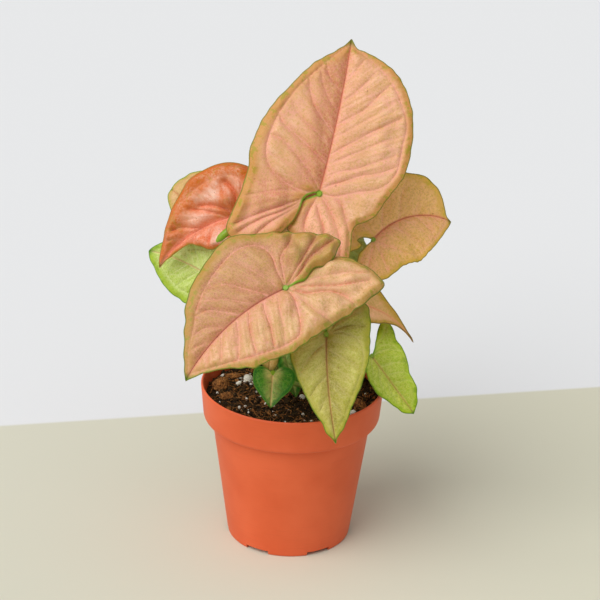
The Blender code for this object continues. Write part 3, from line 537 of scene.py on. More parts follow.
def fade(tree, value, start, end):
    """0 where the value is start and 1 where it is end, smooth between."""
    new = node(tree, "MapRange", {"Value": value, "From Min": start, "From Max": end},
               interpolation_type="SMOOTHSTEP")
    return new.outputs["Result"]


def ramp(tree, value, bottom, top, start=0.0, end=1.0):
    """bottom where the value is start and top where it is end, straight between."""
    new = node(tree, "MapRange", {"Value": value, "From Min": start, "From Max": end,
                                  "To Min": bottom, "To Max": top})
    return new.outputs["Result"]


def math_node(tree, operation, first, second):
    return node(tree, "Math", {0: first, 1: second}, operation=operation).outputs[0]


def multiply(tree, *values):
    result = values[0]
    for value in values[1:]:
        result = math_node(tree, "MULTIPLY", result, value)
    return result


def mix(tree, factor, first, second, blend="MIX"):
    """Mix two colours."""
    new = node(tree, "Mix", {0: factor, 6: first, 7: second}, data_type="RGBA", blend_type=blend)
    return new.outputs[2]


def layered(tree, ground, layers):
    """Lay colours over a ground colour, each as strong as its factors multiplied."""
    for over, *factors in layers:
        ground = mix(tree, multiply(tree, *factors), ground, over)
    return ground


def stretch(tree, place, factors):
    """A place with each of its coordinates multiplied."""
    return node(tree, "VectorMath", {0: place, 1: factors}, operation="MULTIPLY").outputs[0]


def noise(tree, vector, scale, detail=3.0, roughness=0.5, distortion=0.0):
    new = node(tree, "TexNoise", {"Vector": vector, "Scale": scale, "Detail": detail,
                                  "Roughness": roughness, "Distortion": distortion})
    return new.outputs["Fac"]


def bump(tree, height, strength, distance, below=None):
    sockets = {"Height": height, "Strength": strength, "Distance": distance * MM}
    if below is not None:
        sockets["Normal"] = below
    return node(tree, "Bump", sockets).outputs["Normal"]


def new_material(name):
    """An empty node material with its shader, and the place in millimetres."""
    material = bpy.data.materials.new(name)
    material.use_nodes = True
    tree = material.node_tree
    place = stretch(tree, node(tree, "TexCoord").outputs["Object"], (1 / MM, 1 / MM, 1 / MM))
    return material, tree, tree.nodes["Principled BSDF"], place


def leaf_patterns(tree, place, seed):
    """Noises over a blade. The streaks run along its side veins."""
    flow = node(tree, "CombineXYZ", {"X": multiply(tree, attribute(tree, "streak"), 0.42),
                                     "Y": multiply(tree, attribute(tree, "run"), 0.07),
                                     "Z": float(seed)}).outputs[0]
    swirl = node(tree, "TexNoise", {"Vector": place, "Scale": 0.5}).outputs["Color"]
    shifted = node(tree, "VectorMath", {0: swirl, 1: (3.0, 3.0, 3.0), 2: place},
                   operation="MULTIPLY_ADD").outputs[0]
    cells = node(tree, "TexVoronoi", {"Vector": shifted, "Scale": 0.62},
                 feature="DISTANCE_TO_EDGE").outputs["Distance"]
    return {
        "streaks": noise(tree, flow, 1.0, 4.0, 0.62, 0.5),
        "cells": cells,
        "clouds": noise(tree, place, 0.11, 3.0, 0.6),
        "patches": noise(tree, place, 0.26, 3.0, 0.6),
        "stains": noise(tree, place, 0.42, 4.0, 0.68, 0.6),
        "dots": noise(tree, place, 0.5, 0.0),
        "speckle": noise(tree, place, 0.75, 5.0, 0.72),
    }


def leaf_layers(tree, look, patterns):
    """The colours laid over a leaf's field colour, each with how strongly it covers."""
    streaks = patterns["streaks"]
    clouds = patterns["clouds"]
    speckle = patterns["speckle"]
    mottling = look["mottling"]
    show = look["show"]
    half, middle, lobe, hub, rim, vein = [
        attribute(tree, word) for word in ("half", "middle", "lobe", "hub", "rim", "vein")]
    puffed = fade(tree, attribute(tree, "panel"), 0.3, 0.8)
    flow = math_node(tree, "ADD", multiply(tree, streaks, 0.6), multiply(tree, clouds, 0.4))
    # The lobe colours, mostly paler than the field, are partly the lobes' own tint and partly painted
    # light where the drooping lobes turn from the light.
    ends = mix(tree, fade(tree, half, -0.5, 0.5), *look["lobe"])
    layers = [
        # The panel colour is partly the blade's paler tissue and partly a painted highlight on the
        # puffed parts between the veins.
        (look["panel"], puffed, fade(tree, clouds, 0.30, 0.56)),
        (look["mottle"], fade(tree, flow, 0.42, 0.60), 0.8 * mottling),
        (look["centre"], fade(tree, middle, 0.60, 0.0), 0.7, fade(tree, speckle, 0.30, 0.60)),
        (ends, lobe, 0.7),
    ]
    # Painted shading over a half. The shade colour darkens the half that the fold turns from the
    # light, near the rib and low down. It is partly also that half's own darker tint. On olive the
    # shade colour is paler, so there it is painted light.
    above = math_node(tree, "SUBTRACT", attribute(tree, "low"), lobe)
    reach = math_node(tree, "MAXIMUM", fade(tree, middle, 0.55, 0.05), above)
    half_tint_and_shading = multiply(tree, ramp(tree, reach, look["spread"], 1.0), ramp(tree, puffed, 1.0, 0.7),
                    fade(tree, streaks, 0.78, 0.46))
    for amount, edges in zip(look["half_tint_and_shading"], ((-0.2, -0.8), (0.2, 0.8))):
        if amount > 0:
            layers.append((look["shade"], fade(tree, half, *edges), amount, half_tint_and_shading))
    narrow = ramp(tree, half, 1 / look["band"][0], 1 / look["band"][1], -1.0)
    inward = multiply(tree, attribute(tree, "inward"), narrow)
    astray = multiply(tree, math_node(tree, "SUBTRACT", clouds, 0.5), 0.55)
    wander = math_node(tree, "ADD", inward, astray)
    below = layered(tree, look["under"], [
        (look["veins"], vein, 0.8),
        (look["mottle"], fade(tree, clouds, 0.4, 0.65), 0.3)])
    return layers + [
        # Painted shade along one side of each vein, where the quilted relief would be in shade.
        (look["shade"], attribute(tree, "vein_side_shading"), 0.6, fade(tree, speckle, 0.66, 0.40)),
        (look["mottle"], fade(tree, patterns["stains"], 0.50, 0.62), 0.65 * mottling),
        (look["speck"], fade(tree, speckle, 0.50, 0.58), 0.55 * mottling),
        (look["veins"], fade(tree, patterns["cells"], 0.16, 0.03), 0.28),
        (look["border"], fade(tree, wander, 1.2, 0.35), ramp(tree, speckle, 1.0, 0.6, 0.42, 0.60)),
        (look["blotch"], fade(tree, patterns["patches"], 0.53, 0.61),
         fade(tree, inward, 1.0, 0.4), 0.8 * mottling),
        (look["centre"], fade(tree, hub, 28.0, 5.0), look["glow"],
         fade(tree, streaks, 0.72, 0.42)),
        (look["veins"], attribute(tree, "halo"), 0.7 * show, fade(tree, speckle, 0.64, 0.40)),
        (look["veins"], vein, show, fade(tree, clouds, 0.80, 0.30)),
        (look["rib"], attribute(tree, "rib"), 0.85),
        (look["edge"], fade(tree, rim, 0.9, 0.2), 0.9),
        (look["edge"], fade(tree, attribute(tree, "tip"), 6.0, 1.0)),
        (HUB_GREEN, fade(tree, hub, 20.0, 7.0), fade(tree, rim, 1.5, 0.4), 0.9 * look["hub"]),
        (HUB_GREEN, fade(tree, hub, 2.3, 1.2), look["hub"]),
        (below, attribute(tree, "under"), 0.8),
        (FLECK_BROWN, fade(tree, patterns["dots"], 0.84, 0.88), 0.5),
    ]


def leaf_material(name, look, seed):
    """A leaf's upper and lower faces, from the mesh's vein and distance attributes."""
    material, tree, shader, place = new_material(name)
    patterns = leaf_patterns(tree, place, seed)
    colour = layered(tree, look["field"], leaf_layers(tree, look, patterns))
    tone = ramp(tree, noise(tree, place, 3.2, 2.0, 0.6), 0.9, 1.1)
    tone = node(tree, "CombineXYZ", {"X": tone, "Y": tone, "Z": tone}).outputs[0]
    surface = bump(tree, patterns["streaks"], 0.4, 0.4)
    surface = bump(tree, patterns["cells"], 0.35, 0.35, surface)
    surface = bump(tree, patterns["speckle"], 0.3, 0.2, surface)
    feed(tree, shader, {
        "Base Color": mix(tree, 1.0, colour, tone, "MULTIPLY"),
        "Roughness": ramp(tree, patterns["speckle"], 0.42, 0.58),
        "Normal": surface, "Specular IOR Level": 0.3, "Subsurface Weight": 0.06,
        "Subsurface Radius": (0.9, 0.6, 0.35), "Subsurface Scale": 0.8 * MM})
    return material


def stalk_material():
    """Green stalks, paler at the foot, with fine lengthwise streaks and pink flecks."""
    material, tree, shader, place = new_material("stalk_skin")
    streaks = noise(tree, stretch(tree, place, (1.0, 1.0, 0.06)), 1.6, 3.0, 0.6)
    speckle = noise(tree, place, 1.1, 3.0, 0.7)
    height = node(tree, "SeparateXYZ", {0: place}).outputs["Z"]
    colour = layered(tree, srgb(104, 146, 10), [
        (srgb(152, 184, 36), streaks),
        (srgb(176, 186, 110), fade(tree, height, SOIL_TOP + 26, SOIL_TOP + 2)),
        (srgb(190, 120, 84), fade(tree, speckle, 0.55, 0.7), 0.35)])
    feed(tree, shader, {
        "Base Color": colour, "Roughness": 0.42, "Normal": bump(tree, streaks, 0.4, 0.2),
        "Subsurface Weight": 0.1, "Subsurface Scale": 1.0 * MM})
    return material


def pot_material():
    """Matt orange-red moulded plastic with a fine grain and faint scuffs."""
    material, tree, shader, place = new_material("pot_plastic_skin")
    clouds = noise(tree, place, 0.03, 3.0, 0.5)
    grain = noise(tree, place, 2.6, 3.0, 0.6)
    lines = noise(tree, stretch(tree, place, (0.05, 0.05, 1.2)), 1.0, 3.0, 0.55)
    scuffs = fade(tree, noise(tree, place, 0.35, 6.0, 0.75), 0.62, 0.74)
    colour = layered(tree, srgb(222, 97, 54), [
        (srgb(232, 107, 64), fade(tree, clouds, 0.3, 0.7)),
        (srgb(232, 140, 106), scuffs, 0.22),
        (srgb(196, 84, 50), fade(tree, lines, 0.55, 0.7), 0.10)])
    feed(tree, shader, {
        "Base Color": colour, "Roughness": ramp(tree, grain, 0.44, 0.56),
        "Normal": bump(tree, grain, 0.2, 0.06, bump(tree, lines, 0.15, 0.1)),
        "Specular IOR Level": 0.25, "Subsurface Weight": 0.05, "Subsurface Scale": 1.5 * MM})
    return material


def earth_material(name, colours, scale, rough=0.95, stretched=(1.0, 1.0, 1.0)):
    """A mix of a dark, a middle and a light colour, from coarse and fine noise."""
    material, tree, shader, place = new_material(name)
    place = stretch(tree, place, stretched)
    dark, middle, light = colours
    coarse = noise(tree, place, scale, 4.0, 0.65, 0.4)
    fine = noise(tree, place, scale * 5, 4.0, 0.7)
    colour = layered(tree, dark, [
        (middle, fade(tree, coarse, 0.36, 0.62)), (light, fade(tree, fine, 0.54, 0.74))])
    feed(tree, shader, {
        "Base Color": colour, "Roughness": rough,
        "Normal": bump(tree, fine, 0.8, 0.35, bump(tree, coarse, 0.7, 0.8)),
        "Specular IOR Level": 0.25})
    return material


def soil_material():
    browns = (srgb(22, 13, 5), srgb(60, 40, 16), srgb(150, 112, 56))
    return earth_material("soil_skin", browns, 0.35)


def bark_material():
    browns = (srgb(84, 48, 20), srgb(164, 108, 54), srgb(220, 172, 112))
    return earth_material("bark_skin", browns, 0.7, stretched=(1.3, 0.35, 1.6))


def perlite_material():
    whites = (srgb(224, 218, 198), srgb(250, 248, 238), srgb(255, 255, 252))
    return earth_material("perlite_skin", whites, 0.9, 0.8)


def add_object(name, data):
    obj = bpy.data.objects.new(name, data)
    bpy.context.scene.collection.objects.link(obj)
    return obj


def mesh_object(name, points, faces, attributes=None, smooth=True):
    """A new object from points in millimetres, with values for its points."""
    mesh = bpy.data.meshes.new(name)
    points = np.asarray(points, float) * MM
    mesh.from_pydata(points.tolist(), [], [list(map(int, f)) for f in faces])
    for key, values in (attributes or {}).items():
        layer = mesh.attributes.new(key, "FLOAT", "POINT")
        layer.data.foreach_set("value", np.asarray(values, np.float32))
    if smooth:
        mesh.shade_smooth()
        mesh.set_sharp_from_angle(angle=math.radians(55))
    return add_object(name, mesh)


def dress(obj, material, slot, *nodes):
    """Give a piece its material and its place in the frame."""
    obj.data.materials.clear()
    obj.data.materials.append(material)
    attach(obj, BODY)
    if nodes:
        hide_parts(*nodes)


def travel(line):
    """Distance along a line of points, from its start to each of them."""
    return np.concatenate([[0], np.cumsum(np.linalg.norm(np.diff(line, axis=0), axis=1))])


def headings(line):
    """Unit vectors along a line of points."""
    ahead = np.gradient(line, axis=0)
    return ahead / np.linalg.norm(ahead, axis=1)[:, None]


def smooth_curve(points, count):
    """Evenly spaced points on a smooth curve through the given ones."""
    p = np.array(points, float)
    step = np.sqrt(np.linalg.norm(np.diff(p, axis=0), axis=1))
    time = np.concatenate([[-step[0]], [0], np.cumsum(step), [step.sum() + step[-1]]])
    p = np.vstack([2 * p[0] - p[1], p, 2 * p[-1] - p[-2]])
    pieces = [p[1:2]]
    s = np.linspace(0, 1, 17)[1:, None]
    for k in range(1, len(p) - 2):
        p0, p1, p2, p3 = p[k - 1:k + 3]
        t0, t1, t2, t3 = time[k - 1:k + 3]
        out = ((p2 - p1) / (t2 - t1) - (p2 - p0) / (t2 - t0) + (p1 - p0) / (t1 - t0)) * (t2 - t1)
        into = ((p2 - p1) / (t2 - t1) - (p3 - p1) / (t3 - t1) + (p3 - p2) / (t3 - t2)) * (t2 - t1)
        pieces.append((2 * s**3 - 3 * s**2 + 1) * p1 + (s**3 - 2 * s**2 + s) * out
                      + (3 * s**2 - 2 * s**3) * p2 + (s**3 - s**2) * into)
    fine = np.vstack(pieces)
    run = travel(fine)
    even = np.linspace(0, run[-1], count)
    return np.stack([np.interp(even, run, fine[:, k]) for k in range(p.shape[1])], axis=1)


def direction(turn, tilt):
    """Unit vector at a turn from -Y towards +X and a tilt above level, in degrees."""
    turn, tilt = np.radians((turn, tilt))
    return np.array([math.sin(turn) * math.cos(tilt), -math.cos(turn) * math.cos(tilt),
                     math.sin(tilt)])


def leaf_axes(face, clock):
    """Unit vectors towards the tip, to the right of it, and out of the upper face."""
    normal = direction(*face)
    up = np.array([0.0, 0.0, 1.0]) - normal * normal[2]
    up /= np.linalg.norm(up)
    across = np.cross(up, normal)
    angle = math.radians(clock)
    return (math.cos(angle) * up + math.sin(angle) * across,
            math.cos(angle) * across - math.sin(angle) * up, normal)


def rib(one, along):
    """Point, right-hand direction and normal of the bent rib at distances along it."""
    tip, right, normal = leaf_axes(one["face"], one["clock"])
    lobe = max(1.0, -min(y for x, y in one["left"] + one["right"]))
    fine = np.linspace(-1.2 * lobe, one["length"], 241)
    part = fine / one["length"]
    front = fine >= 0
    arch = np.radians(np.where(front, one["arch"] * (0.5 - part),
                               0.5 * one["arch"] - one["droop"] * fine / lobe))
    sweep = np.radians(np.where(front, one["sweep"] * (part - 0.5), -0.5 * one["sweep"]))
    ca, sa, cs, ss = (f[:, None] for f in (np.cos(arch), np.sin(arch), np.cos(sweep),
                                           np.sin(sweep)))
    heading = ca * cs * tip + ca * ss * right + sa * normal
    outward = ca * normal - sa * (cs * tip + ss * right)
    side = np.cross(heading, outward)
    steps = 0.5 * (heading[1:] + heading[:-1]) * np.diff(fine)[:, None]
    place = np.vstack([[0, 0, 0], np.cumsum(steps, axis=0)])

    def read(values):
        return np.stack([np.interp(along, fine, values[:, k]) for k in range(3)], axis=-1)

    start = np.array([np.interp(0.0, fine, place[:, k]) for k in range(3)])
    return read(place - start), read(side), read(outward)


def bend(one, side, rim, flat, relief):
    """Place points of the flat half blade on the bent, folded, curled and waved one."""
    x = flat[:, 0]
    y = flat[:, 1]
    width = rim[:, 0].max()
    lobe = max(1.0, -rim[:, 1].min())
    place, right, normal = rib(one, y)
    lift = math.radians(one["fold"])
    turn = math.radians(one["curl"])
    across = width / turn * (np.sin(lift + turn * x / width) - math.sin(lift))
    above = width / turn * (math.cos(lift) - np.cos(lift + turn * x / width))
    phase = one["waves"] * (y + lobe) / (one["length"] + lobe)
    above += one["wave"] * (x / width) ** 2 * np.sin(math.tau * phase)
    above += relief
    return place + side * across[:, None] * right + above[:, None] * normal + np.array(one["at"])


def nearest(points, line, values=None):
    """For each point: its distance to a line of points, a value read there, and its side.

    The side is 1 to the left of the line's course and -1 to the right.
    """
    start = line[:-1]
    run = line[1:] - start
    length = np.maximum((run ** 2).sum(axis=1), 1e-12)
    best = np.full(len(points), 1e9)
    read = np.zeros(len(points))
    turn = np.zeros(len(points))
    chunk = 1 + PAIRS_AT_ONCE // len(start)
    for first in range(0, len(points), chunk):
        away = points[first:first + chunk, None, :] - start
        along = np.clip((away * run).sum(axis=2) / length, 0, 1)
        gap = ((away - along[..., None] * run) ** 2).sum(axis=2)
        pick = gap.argmin(axis=1)
        rows = np.arange(len(pick))
        best[first:first + chunk] = np.sqrt(gap[rows, pick])
        aside = away[rows, pick]
        turn[first:first + chunk] = np.sign(run[pick, 0] * aside[:, 1] - run[pick, 1] * aside[:, 0])
        if values is not None:
            part = along[rows, pick]
            read[first:first + chunk] = values[pick] * (1 - part) + values[pick + 1] * part
    return best, read, turn


def inside_border(points, border):
    """Which points lie inside a closed border."""
    start = border
    end = np.roll(border, -1, axis=0)
    rise = np.where(end[:, 1] == start[:, 1], 1.0, end[:, 1] - start[:, 1])
    inside = np.zeros(len(points), bool)
    chunk = 1 + PAIRS_AT_ONCE // len(start)
    for first in range(0, len(points), chunk):
        x = points[first:first + chunk, 0][:, None]
        y = points[first:first + chunk, 1][:, None]
        spans = (start[:, 1] > y) != (end[:, 1] > y)
        crossed = spans & (x < start[:, 0] + (end - start)[:, 0] * (y - start[:, 1]) / rise)
        inside[first:first + chunk] = crossed.sum(axis=1) % 2 == 1
    return inside


def inner_points(border, step):
    """Points of a triangular grid that lie inside a closed border and clear of it."""
    low = border.min(axis=0)
    high = border.max(axis=0)
    grid = []
    for row, y in enumerate(np.arange(low[1], high[1], step * math.sqrt(0.75))):
        grid += [(x, y) for x in np.arange(low[0] + step * (row % 2) / 2, high[0], step)]
    grid = np.array(grid)
    grid = grid[inside_border(grid, border)]
    closed = np.vstack([border, border[:1]])
    return grid[nearest(grid, closed)[0] > 0.45 * step]


def vein_line(start, end, heading, bow):
    """A vein from start to end that leaves in the given direction."""
    start = np.array(start, float)
    end = np.array(end, float)
    span = np.linalg.norm(end - start)
    middle = start + bow * span * np.array([math.sin(heading), math.cos(heading)])
    t = np.linspace(0, 1, 14)[:, None]
    return (1 - t) ** 2 * start + 2 * (1 - t) * t * middle + t ** 2 * end


def wobble(rng, points, wavelength, count=10):
    """Smooth noise around zero over flat points, of about the given wavelength."""
    total = np.zeros(len(points))
    for k in range(count):
        angle = rng.uniform(0, math.tau)
        pitch = math.tau / (wavelength * rng.uniform(0.7, 1.5))
        wave = points @ np.array([math.cos(angle), math.sin(angle)]) * pitch
        total += np.sin(wave + rng.uniform(0, math.tau))
    return total / math.sqrt(count)


def side_angle(along, length):
    """Angle between the rib and a side vein that starts at this distance along it."""
    return np.radians(66.0 - 26.0 * np.clip(along / length, 0, 1))


def side_place(flat, length):
    """For points of a half blade: where their side vein starts, and how far out they lie."""
    x = np.maximum(flat[:, 0], 0.0)
    y = flat[:, 1]
    start = y.copy()
    for _ in range(4):
        start = y - x / np.tan(side_angle(start, length))
    turn = np.arctan2(x, y) - side_angle(0.0, length)
    away = np.hypot(x, y)
    lobe = start < 0
    return (np.where(lobe, -18.0 * np.abs(turn), start),
            np.where(lobe, away, x / np.sin(side_angle(start, length))))


def side_vein(y, length, collar):
    """A side vein from the rib at y to the vein that follows the edge."""
    angle = side_angle(y, length)
    lean = np.arctan2(collar[:, 0], collar[:, 1] - y)
    end = collar[np.abs(lean - angle).argmin()]
    return vein_line((0, y), end, angle + 0.16, 0.5)


def bell(gap, width):
    """1 at a line, falling off smoothly over the given width."""
    return np.exp(-(gap / width) ** 2)


def border_width(length):
    """Distance from a blade's edge to the vein that follows it."""
    return 0.065 * length + 1.0


def half_veins(one, side, rim, rng):
    """The veins of a half blade: lines with a strength from 0 to 1."""
    length = one["length"]
    if one["veins"]:
        drawn = one["veins"][side > 0]
        veins = [(smooth_curve(course, 60), strength) for strength, course in drawn]
        collar = veins[0][0]
        collar = collar[collar[:, 1] > 0.05 * length]
        for y in np.arange(3.0, 0.85 * length, 4.5):
            start = y + rng.uniform(-1.2, 1.2)
            veins.append((side_vein(start, length, collar), rng.uniform(0.1, 0.3)))
        return veins
    inset = border_width(length)
    ahead = headings(rim)
    inner = rim + inset * np.stack([ahead[:, 1], -ahead[:, 0]], axis=1)
    inner = inner[(inner[:, 0] > 0.5) & (nearest(inner, rim)[0] > 0.93 * inset)]
    front = inner[inner[:, 1] > 0.12 * length]
    veins = []
    if len(front) > 20:
        picks = np.linspace(0, len(front) - 1, 10).astype(int)
        collar = smooth_curve(np.vstack([[(0, 0.93 * length)], front[picks]]), 70)
        base = vein_line((0, 0), collar[-1], math.radians(76), 0.55)
        veins.append((np.vstack([base, collar[::-1]]), 0.75))
        count = max(3, round(length / 11))
        for k in range(2 * count):
            y = length * (0.03 + 0.80 * k / (2 * count)) + rng.uniform(-0.7, 0.7)
            strength = rng.uniform(0.6, 1.0) if k % 2 == 0 else rng.uniform(0.12, 0.4)
            veins.append((side_vein(y, length, collar), strength))
    back = inner[inner[:, 1] < 0.02 * length]
    if len(back) > 12:
        for part, strength in LOBE_VEINS:
            end = back[int(part * (len(back) - 1))]
            heading = math.atan2(end[0], end[1])
            veins.append((vein_line((0, 0), end, heading - 0.35 + 0.5 * part, 0.5), strength))
    return veins


def ragged_rim(one, side, rim, rng):
    """The rim with small uneven waves, larger along a frilled lobe."""
    run = travel(rim)
    waves = wobble(rng, np.stack([run, 0 * run], axis=1), RIM_WAVELENGTH, 14)
    waves *= RIM_WAVE * np.clip(np.minimum(run, run[-1] - run) / 9, 0, 1)
    waves *= 1 + 1.4 * one["frill"][side > 0] * np.clip(-rim[:, 1] / 10, 0, 1)
    ahead = headings(rim)
    return rim + waves[:, None] * np.stack([-ahead[:, 1], ahead[:, 0]], axis=1)


def blade_mesh(rim, rim_steps, length):
    """Flat points and triangles of a half blade, between its rim and its rib."""
    picks = np.linspace(0, RIM_SAMPLES - 1, rim_steps + 1).round().astype(int)
    spine = np.linspace(0, length, round(length / BLADE_STEP) + 1)[1:-1]
    border = np.vstack([rim[picks], [(0.0, y) for y in spine]])
    flat = np.vstack([border, inner_points(border, BLADE_STEP)])
    flat, _, triangles = delaunay_2d_cdt(
        [Vector(p) for p in flat], [], [list(range(len(border)))], 1, 1e-5)[:3]
    return np.array([tuple(p) for p in flat]), triangles


def vein_fields(flat, veins, rib_gap, size, thin):
    """How strongly the veins show, and press into the blade, at each of its points.

    vein: the line itself. halo: the pale band along it. vein_side_shading: painted
    shade along one side of it. groove: the furrow of the line. trough: the valley
    between two panels.
    """
    rib_line = bell(rib_gap, RIB_WIDTH * thin + 0.1)
    fields = {
        "rib": rib_line, "vein": rib_line, "groove": 0.4 * rib_line, "vein_side_shading": 0 * rib_gap,
        "halo": 0.9 * bell(rib_gap, 2.2 * size * thin),
        "trough": np.exp(-rib_gap / (4.5 * size * thin)),
    }
    for line, strength in veins:
        gap, wide, turn = nearest(flat, line, np.linspace(1.0, 0.5, len(line)))
        here = {
            "vein": strength * wide * bell(gap, VEIN_WIDTH * wide),
            "halo": strength * (0.3 + 0.7 * wide) * bell(gap, HALO_WIDTH * size),
            "vein_side_shading": np.where(turn < 0, strength * wide * bell(gap, VEIN_SIDE_SHADING_WIDTH * size), 0),
            "groove": GROOVE_DEPTH * strength * wide * bell(gap, GROOVE_WIDTH),
            "trough": strength * np.exp(-gap / (TROUGH_WIDTH * size)),
        }
        for word, values in here.items():
            fields[word] = np.maximum(fields[word], values)
    return fields


def half_blade(one, side, rng):
    """Points, triangles and point values of one half of the blade."""
    length = one["length"]
    look = LOOKS[one["look"]]
    course = one["right"] if side > 0 else one["left"]
    frill = one["frill"][side > 0]
    rim = smooth_curve([(0, length)] + course + [(0, 0)], RIM_SAMPLES)
    rim_steps = round(travel(rim)[-1] / (0.9 * BLADE_STEP))
    veins = half_veins(one, side, rim, rng)
    rim = ragged_rim(one, side, rim, rng)
    flat, triangles = blade_mesh(rim, rim_steps, length)
    rim_gap = nearest(flat, rim[::8])[0]
    rib_gap = nearest(flat, np.array([(0.0, 0.0), (0.0, length)]))[0]
    streak, out = side_place(flat, length)
    size = min(1.0, length / FULL_LENGTH)
    thin = 1.0 - 0.55 * np.clip(flat[:, 1] / length, 0, 1)
    fields = vein_fields(flat, veins, rib_gap, size, thin)

    panel = (1 - fields["trough"]) * np.clip(rim_gap / 3.5, 0, 1)
    lobe = np.clip(-(flat[:, 1] + 1.0) / 8, 0, 1)
    puff = (1.0 + 0.35 * wobble(rng, flat, 14.0)) * (1 + (0.5 + frill) * lobe)
    grain = wobble(rng, np.stack([streak, 0.12 * out], axis=1), 2.6, 12)
    swell = wobble(rng, flat, 22.0) * np.clip(rim_gap / 10, 0, 1) * np.clip(rib_gap / 8, 0, 1)
    relief = look["quilt"] * size * panel * puff
    relief += one["lap"][side > 0] * lobe * lobe * (3 - 2 * lobe)
    relief -= KEEL_DEPTH * size * thin * np.exp(-rib_gap / (6 * size))
    relief += 0.10 * size * np.clip(rim_gap / 3.5, 0, 1) * grain
    relief += look["crumple"] * size * swell - fields["groove"] - 0.2
    values = {
        "vein": fields["vein"], "halo": fields["halo"], "rib": fields["rib"],
        "vein_side_shading": fields["vein_side_shading"], "panel": panel, "rim": rim_gap,
        "inward": np.clip(rim_gap / border_width(length), 0, 4),
        "middle": np.clip(rib_gap / rim[:, 0].max(), 0, 1),
        "hub": np.hypot(flat[:, 0], flat[:, 1]) * 80 / length,
        "tip": np.hypot(flat[:, 0], flat[:, 1] - length) * 80 / length,
        "half": side * np.clip(np.abs(flat[:, 0]) / 1.5, 0, 1),
        "low": np.clip((0.10 * length - flat[:, 1]) / (0.14 * length), 0, 1),
        "lobe": np.clip(-(flat[:, 1] + 0.42 * np.abs(flat[:, 0])) / (0.10 * length), 0, 1),
        "run": out, "streak": streak + side * 500.0,
        "ridge": np.maximum(fields["vein"], 0.4 * fields["halo"]),
    }
    solid = bend(one, side, rim, flat, relief)
    return solid, [t if side > 0 else t[::-1] for t in triangles], values


def blade_normals(points, triangles):
    """Normals at the points of a blade."""
    corners = points[triangles]
    face = np.cross(corners[:, 1] - corners[:, 0], corners[:, 2] - corners[:, 0])
    normals = np.zeros_like(points)
    for k in range(3):
        np.add.at(normals, triangles[:, k], face)
    return normals / np.maximum(np.linalg.norm(normals, axis=1), 1e-9)[:, None]


def border_edges(triangles):
    """Edges that only one triangle has, in that triangle's direction."""
    edges = np.vstack([triangles[:, [0, 1]], triangles[:, [1, 2]], triangles[:, [2, 0]]])
    key = np.sort(edges, axis=1)
    order = key[:, 0].astype(np.int64) * (triangles.max() + 1) + key[:, 1]
    _, first, count = np.unique(order, return_index=True, return_counts=True)
    return edges[first[count == 1]]


def join_halves(one, rng):
    """Points, triangles and point values of a whole blade, joined along its rib."""
    points = []
    index = {}
    faces = []
    values = {}
    for side in (-1, 1):
        half, triangles, read = half_blade(one, side, rng)
        label = np.empty(len(half), int)
        for k, point in enumerate(half):
            on_rib = abs(read["half"][k]) < 1e-6
            key = tuple(np.round(point, 2)) if on_rib else (side, k)
            if key not in index:
                index[key] = len(points)
                points.append(point)
                for word, numbers in read.items():
                    values.setdefault(word, []).append(numbers[k])
            label[k] = index[key]
        faces += [[label[c] for c in triangle] for triangle in triangles]
    return np.array(points), np.array(faces), values


def make_leaf(name, one, seed):
    """A thin blade with its real outline, veins and quilting, and a closed edge."""
    one = dict(one, veins=MAIN_VEINS.get(name))
    points, faces, values = join_halves(one, np.random.default_rng(seed))
    normals = blade_normals(points, faces)
    ridge = np.array(values.pop("ridge"))
    count = len(points)
    top = points + normals * BLADE_THICKNESS / 2
    bottom = points - normals * (BLADE_THICKNESS / 2 + RIDGE_HEIGHT * ridge)[:, None]
    around = [[a, a + count, b + count, b] for a, b in border_edges(faces)]
    all_faces = faces.tolist() + (faces[:, ::-1] + count).tolist() + around
    doubled = {word: np.concatenate([numbers, numbers]) for word, numbers in values.items()}
    doubled["under"] = np.concatenate([np.zeros(count), np.ones(count)])
    blade = mesh_object(name + "_blade", np.vstack([top, bottom]), all_faces, doubled)
    skin = leaf_material(name + "_skin", LOOKS[one["look"]], seed)
    dress(blade, skin, SLOTS[one["look"]], name)


def ring_faces(near, far):
    """Faces between two rings, given by their point numbers. Repeated corners drop out."""
    faces = []
    for k in range(len(near)):
        n = (k + 1) % len(near)
        corners = [near[k], near[n], far[n], far[k]]
        faces.append([c for i, c in enumerate(corners) if c not in corners[:i]])
    return faces


def add_ring(points, radius, height, angles):
    """Add a level ring of points, or one point on the axis, and give the point numbers."""
    first = len(points)
    if radius < 1e-6:
        points.append((0.0, 0.0, height))
        return [first] * len(angles)
    points += [(radius * math.cos(a), radius * math.sin(a), height) for a in angles]
    return list(range(first, len(points)))


def tube(path, radii, sides, squash=None):
    """Points and faces of a round stalk along a path, closed at both ends.

    squash tells how far one side is flattened at each point of the path.
    """
    path = np.array(path, float)
    heading = headings(path)
    side = np.cross(heading[0], [0.3, 0.9, 0.1])
    points = []
    for row, (place, ahead, radius) in enumerate(zip(path, heading, radii)):
        side = side - ahead * (side @ ahead)
        side /= np.linalg.norm(side)
        other = np.cross(ahead, side)
        flat = squash[row] if squash is not None else 0.0
        for k in range(sides):
            angle = math.tau * k / sides
            dent = 1 - flat * max(0.0, math.cos(angle)) ** 3
            points.append(place + radius * (dent * math.cos(angle) * side + math.sin(angle) * other))
    rings = np.arange(len(points)).reshape(-1, sides).tolist()
    faces = [rings[0][::-1]]
    for lower, upper in zip(rings, rings[1:]):
        faces += ring_faces(lower, upper)
    return points, faces + [rings[-1]]


class Pile:
    """Gathers many shapes into one mesh."""

    def __init__(self):
        self.points = []
        self.faces = []

    def add(self, points, faces):
        first = len(self.points)
        self.points += [tuple(p) for p in points]
        self.faces += [[first + c for c in face] for face in faces]

    def piece(self, name, smooth=False):
        return mesh_object(name, self.points, self.faces, smooth=smooth)


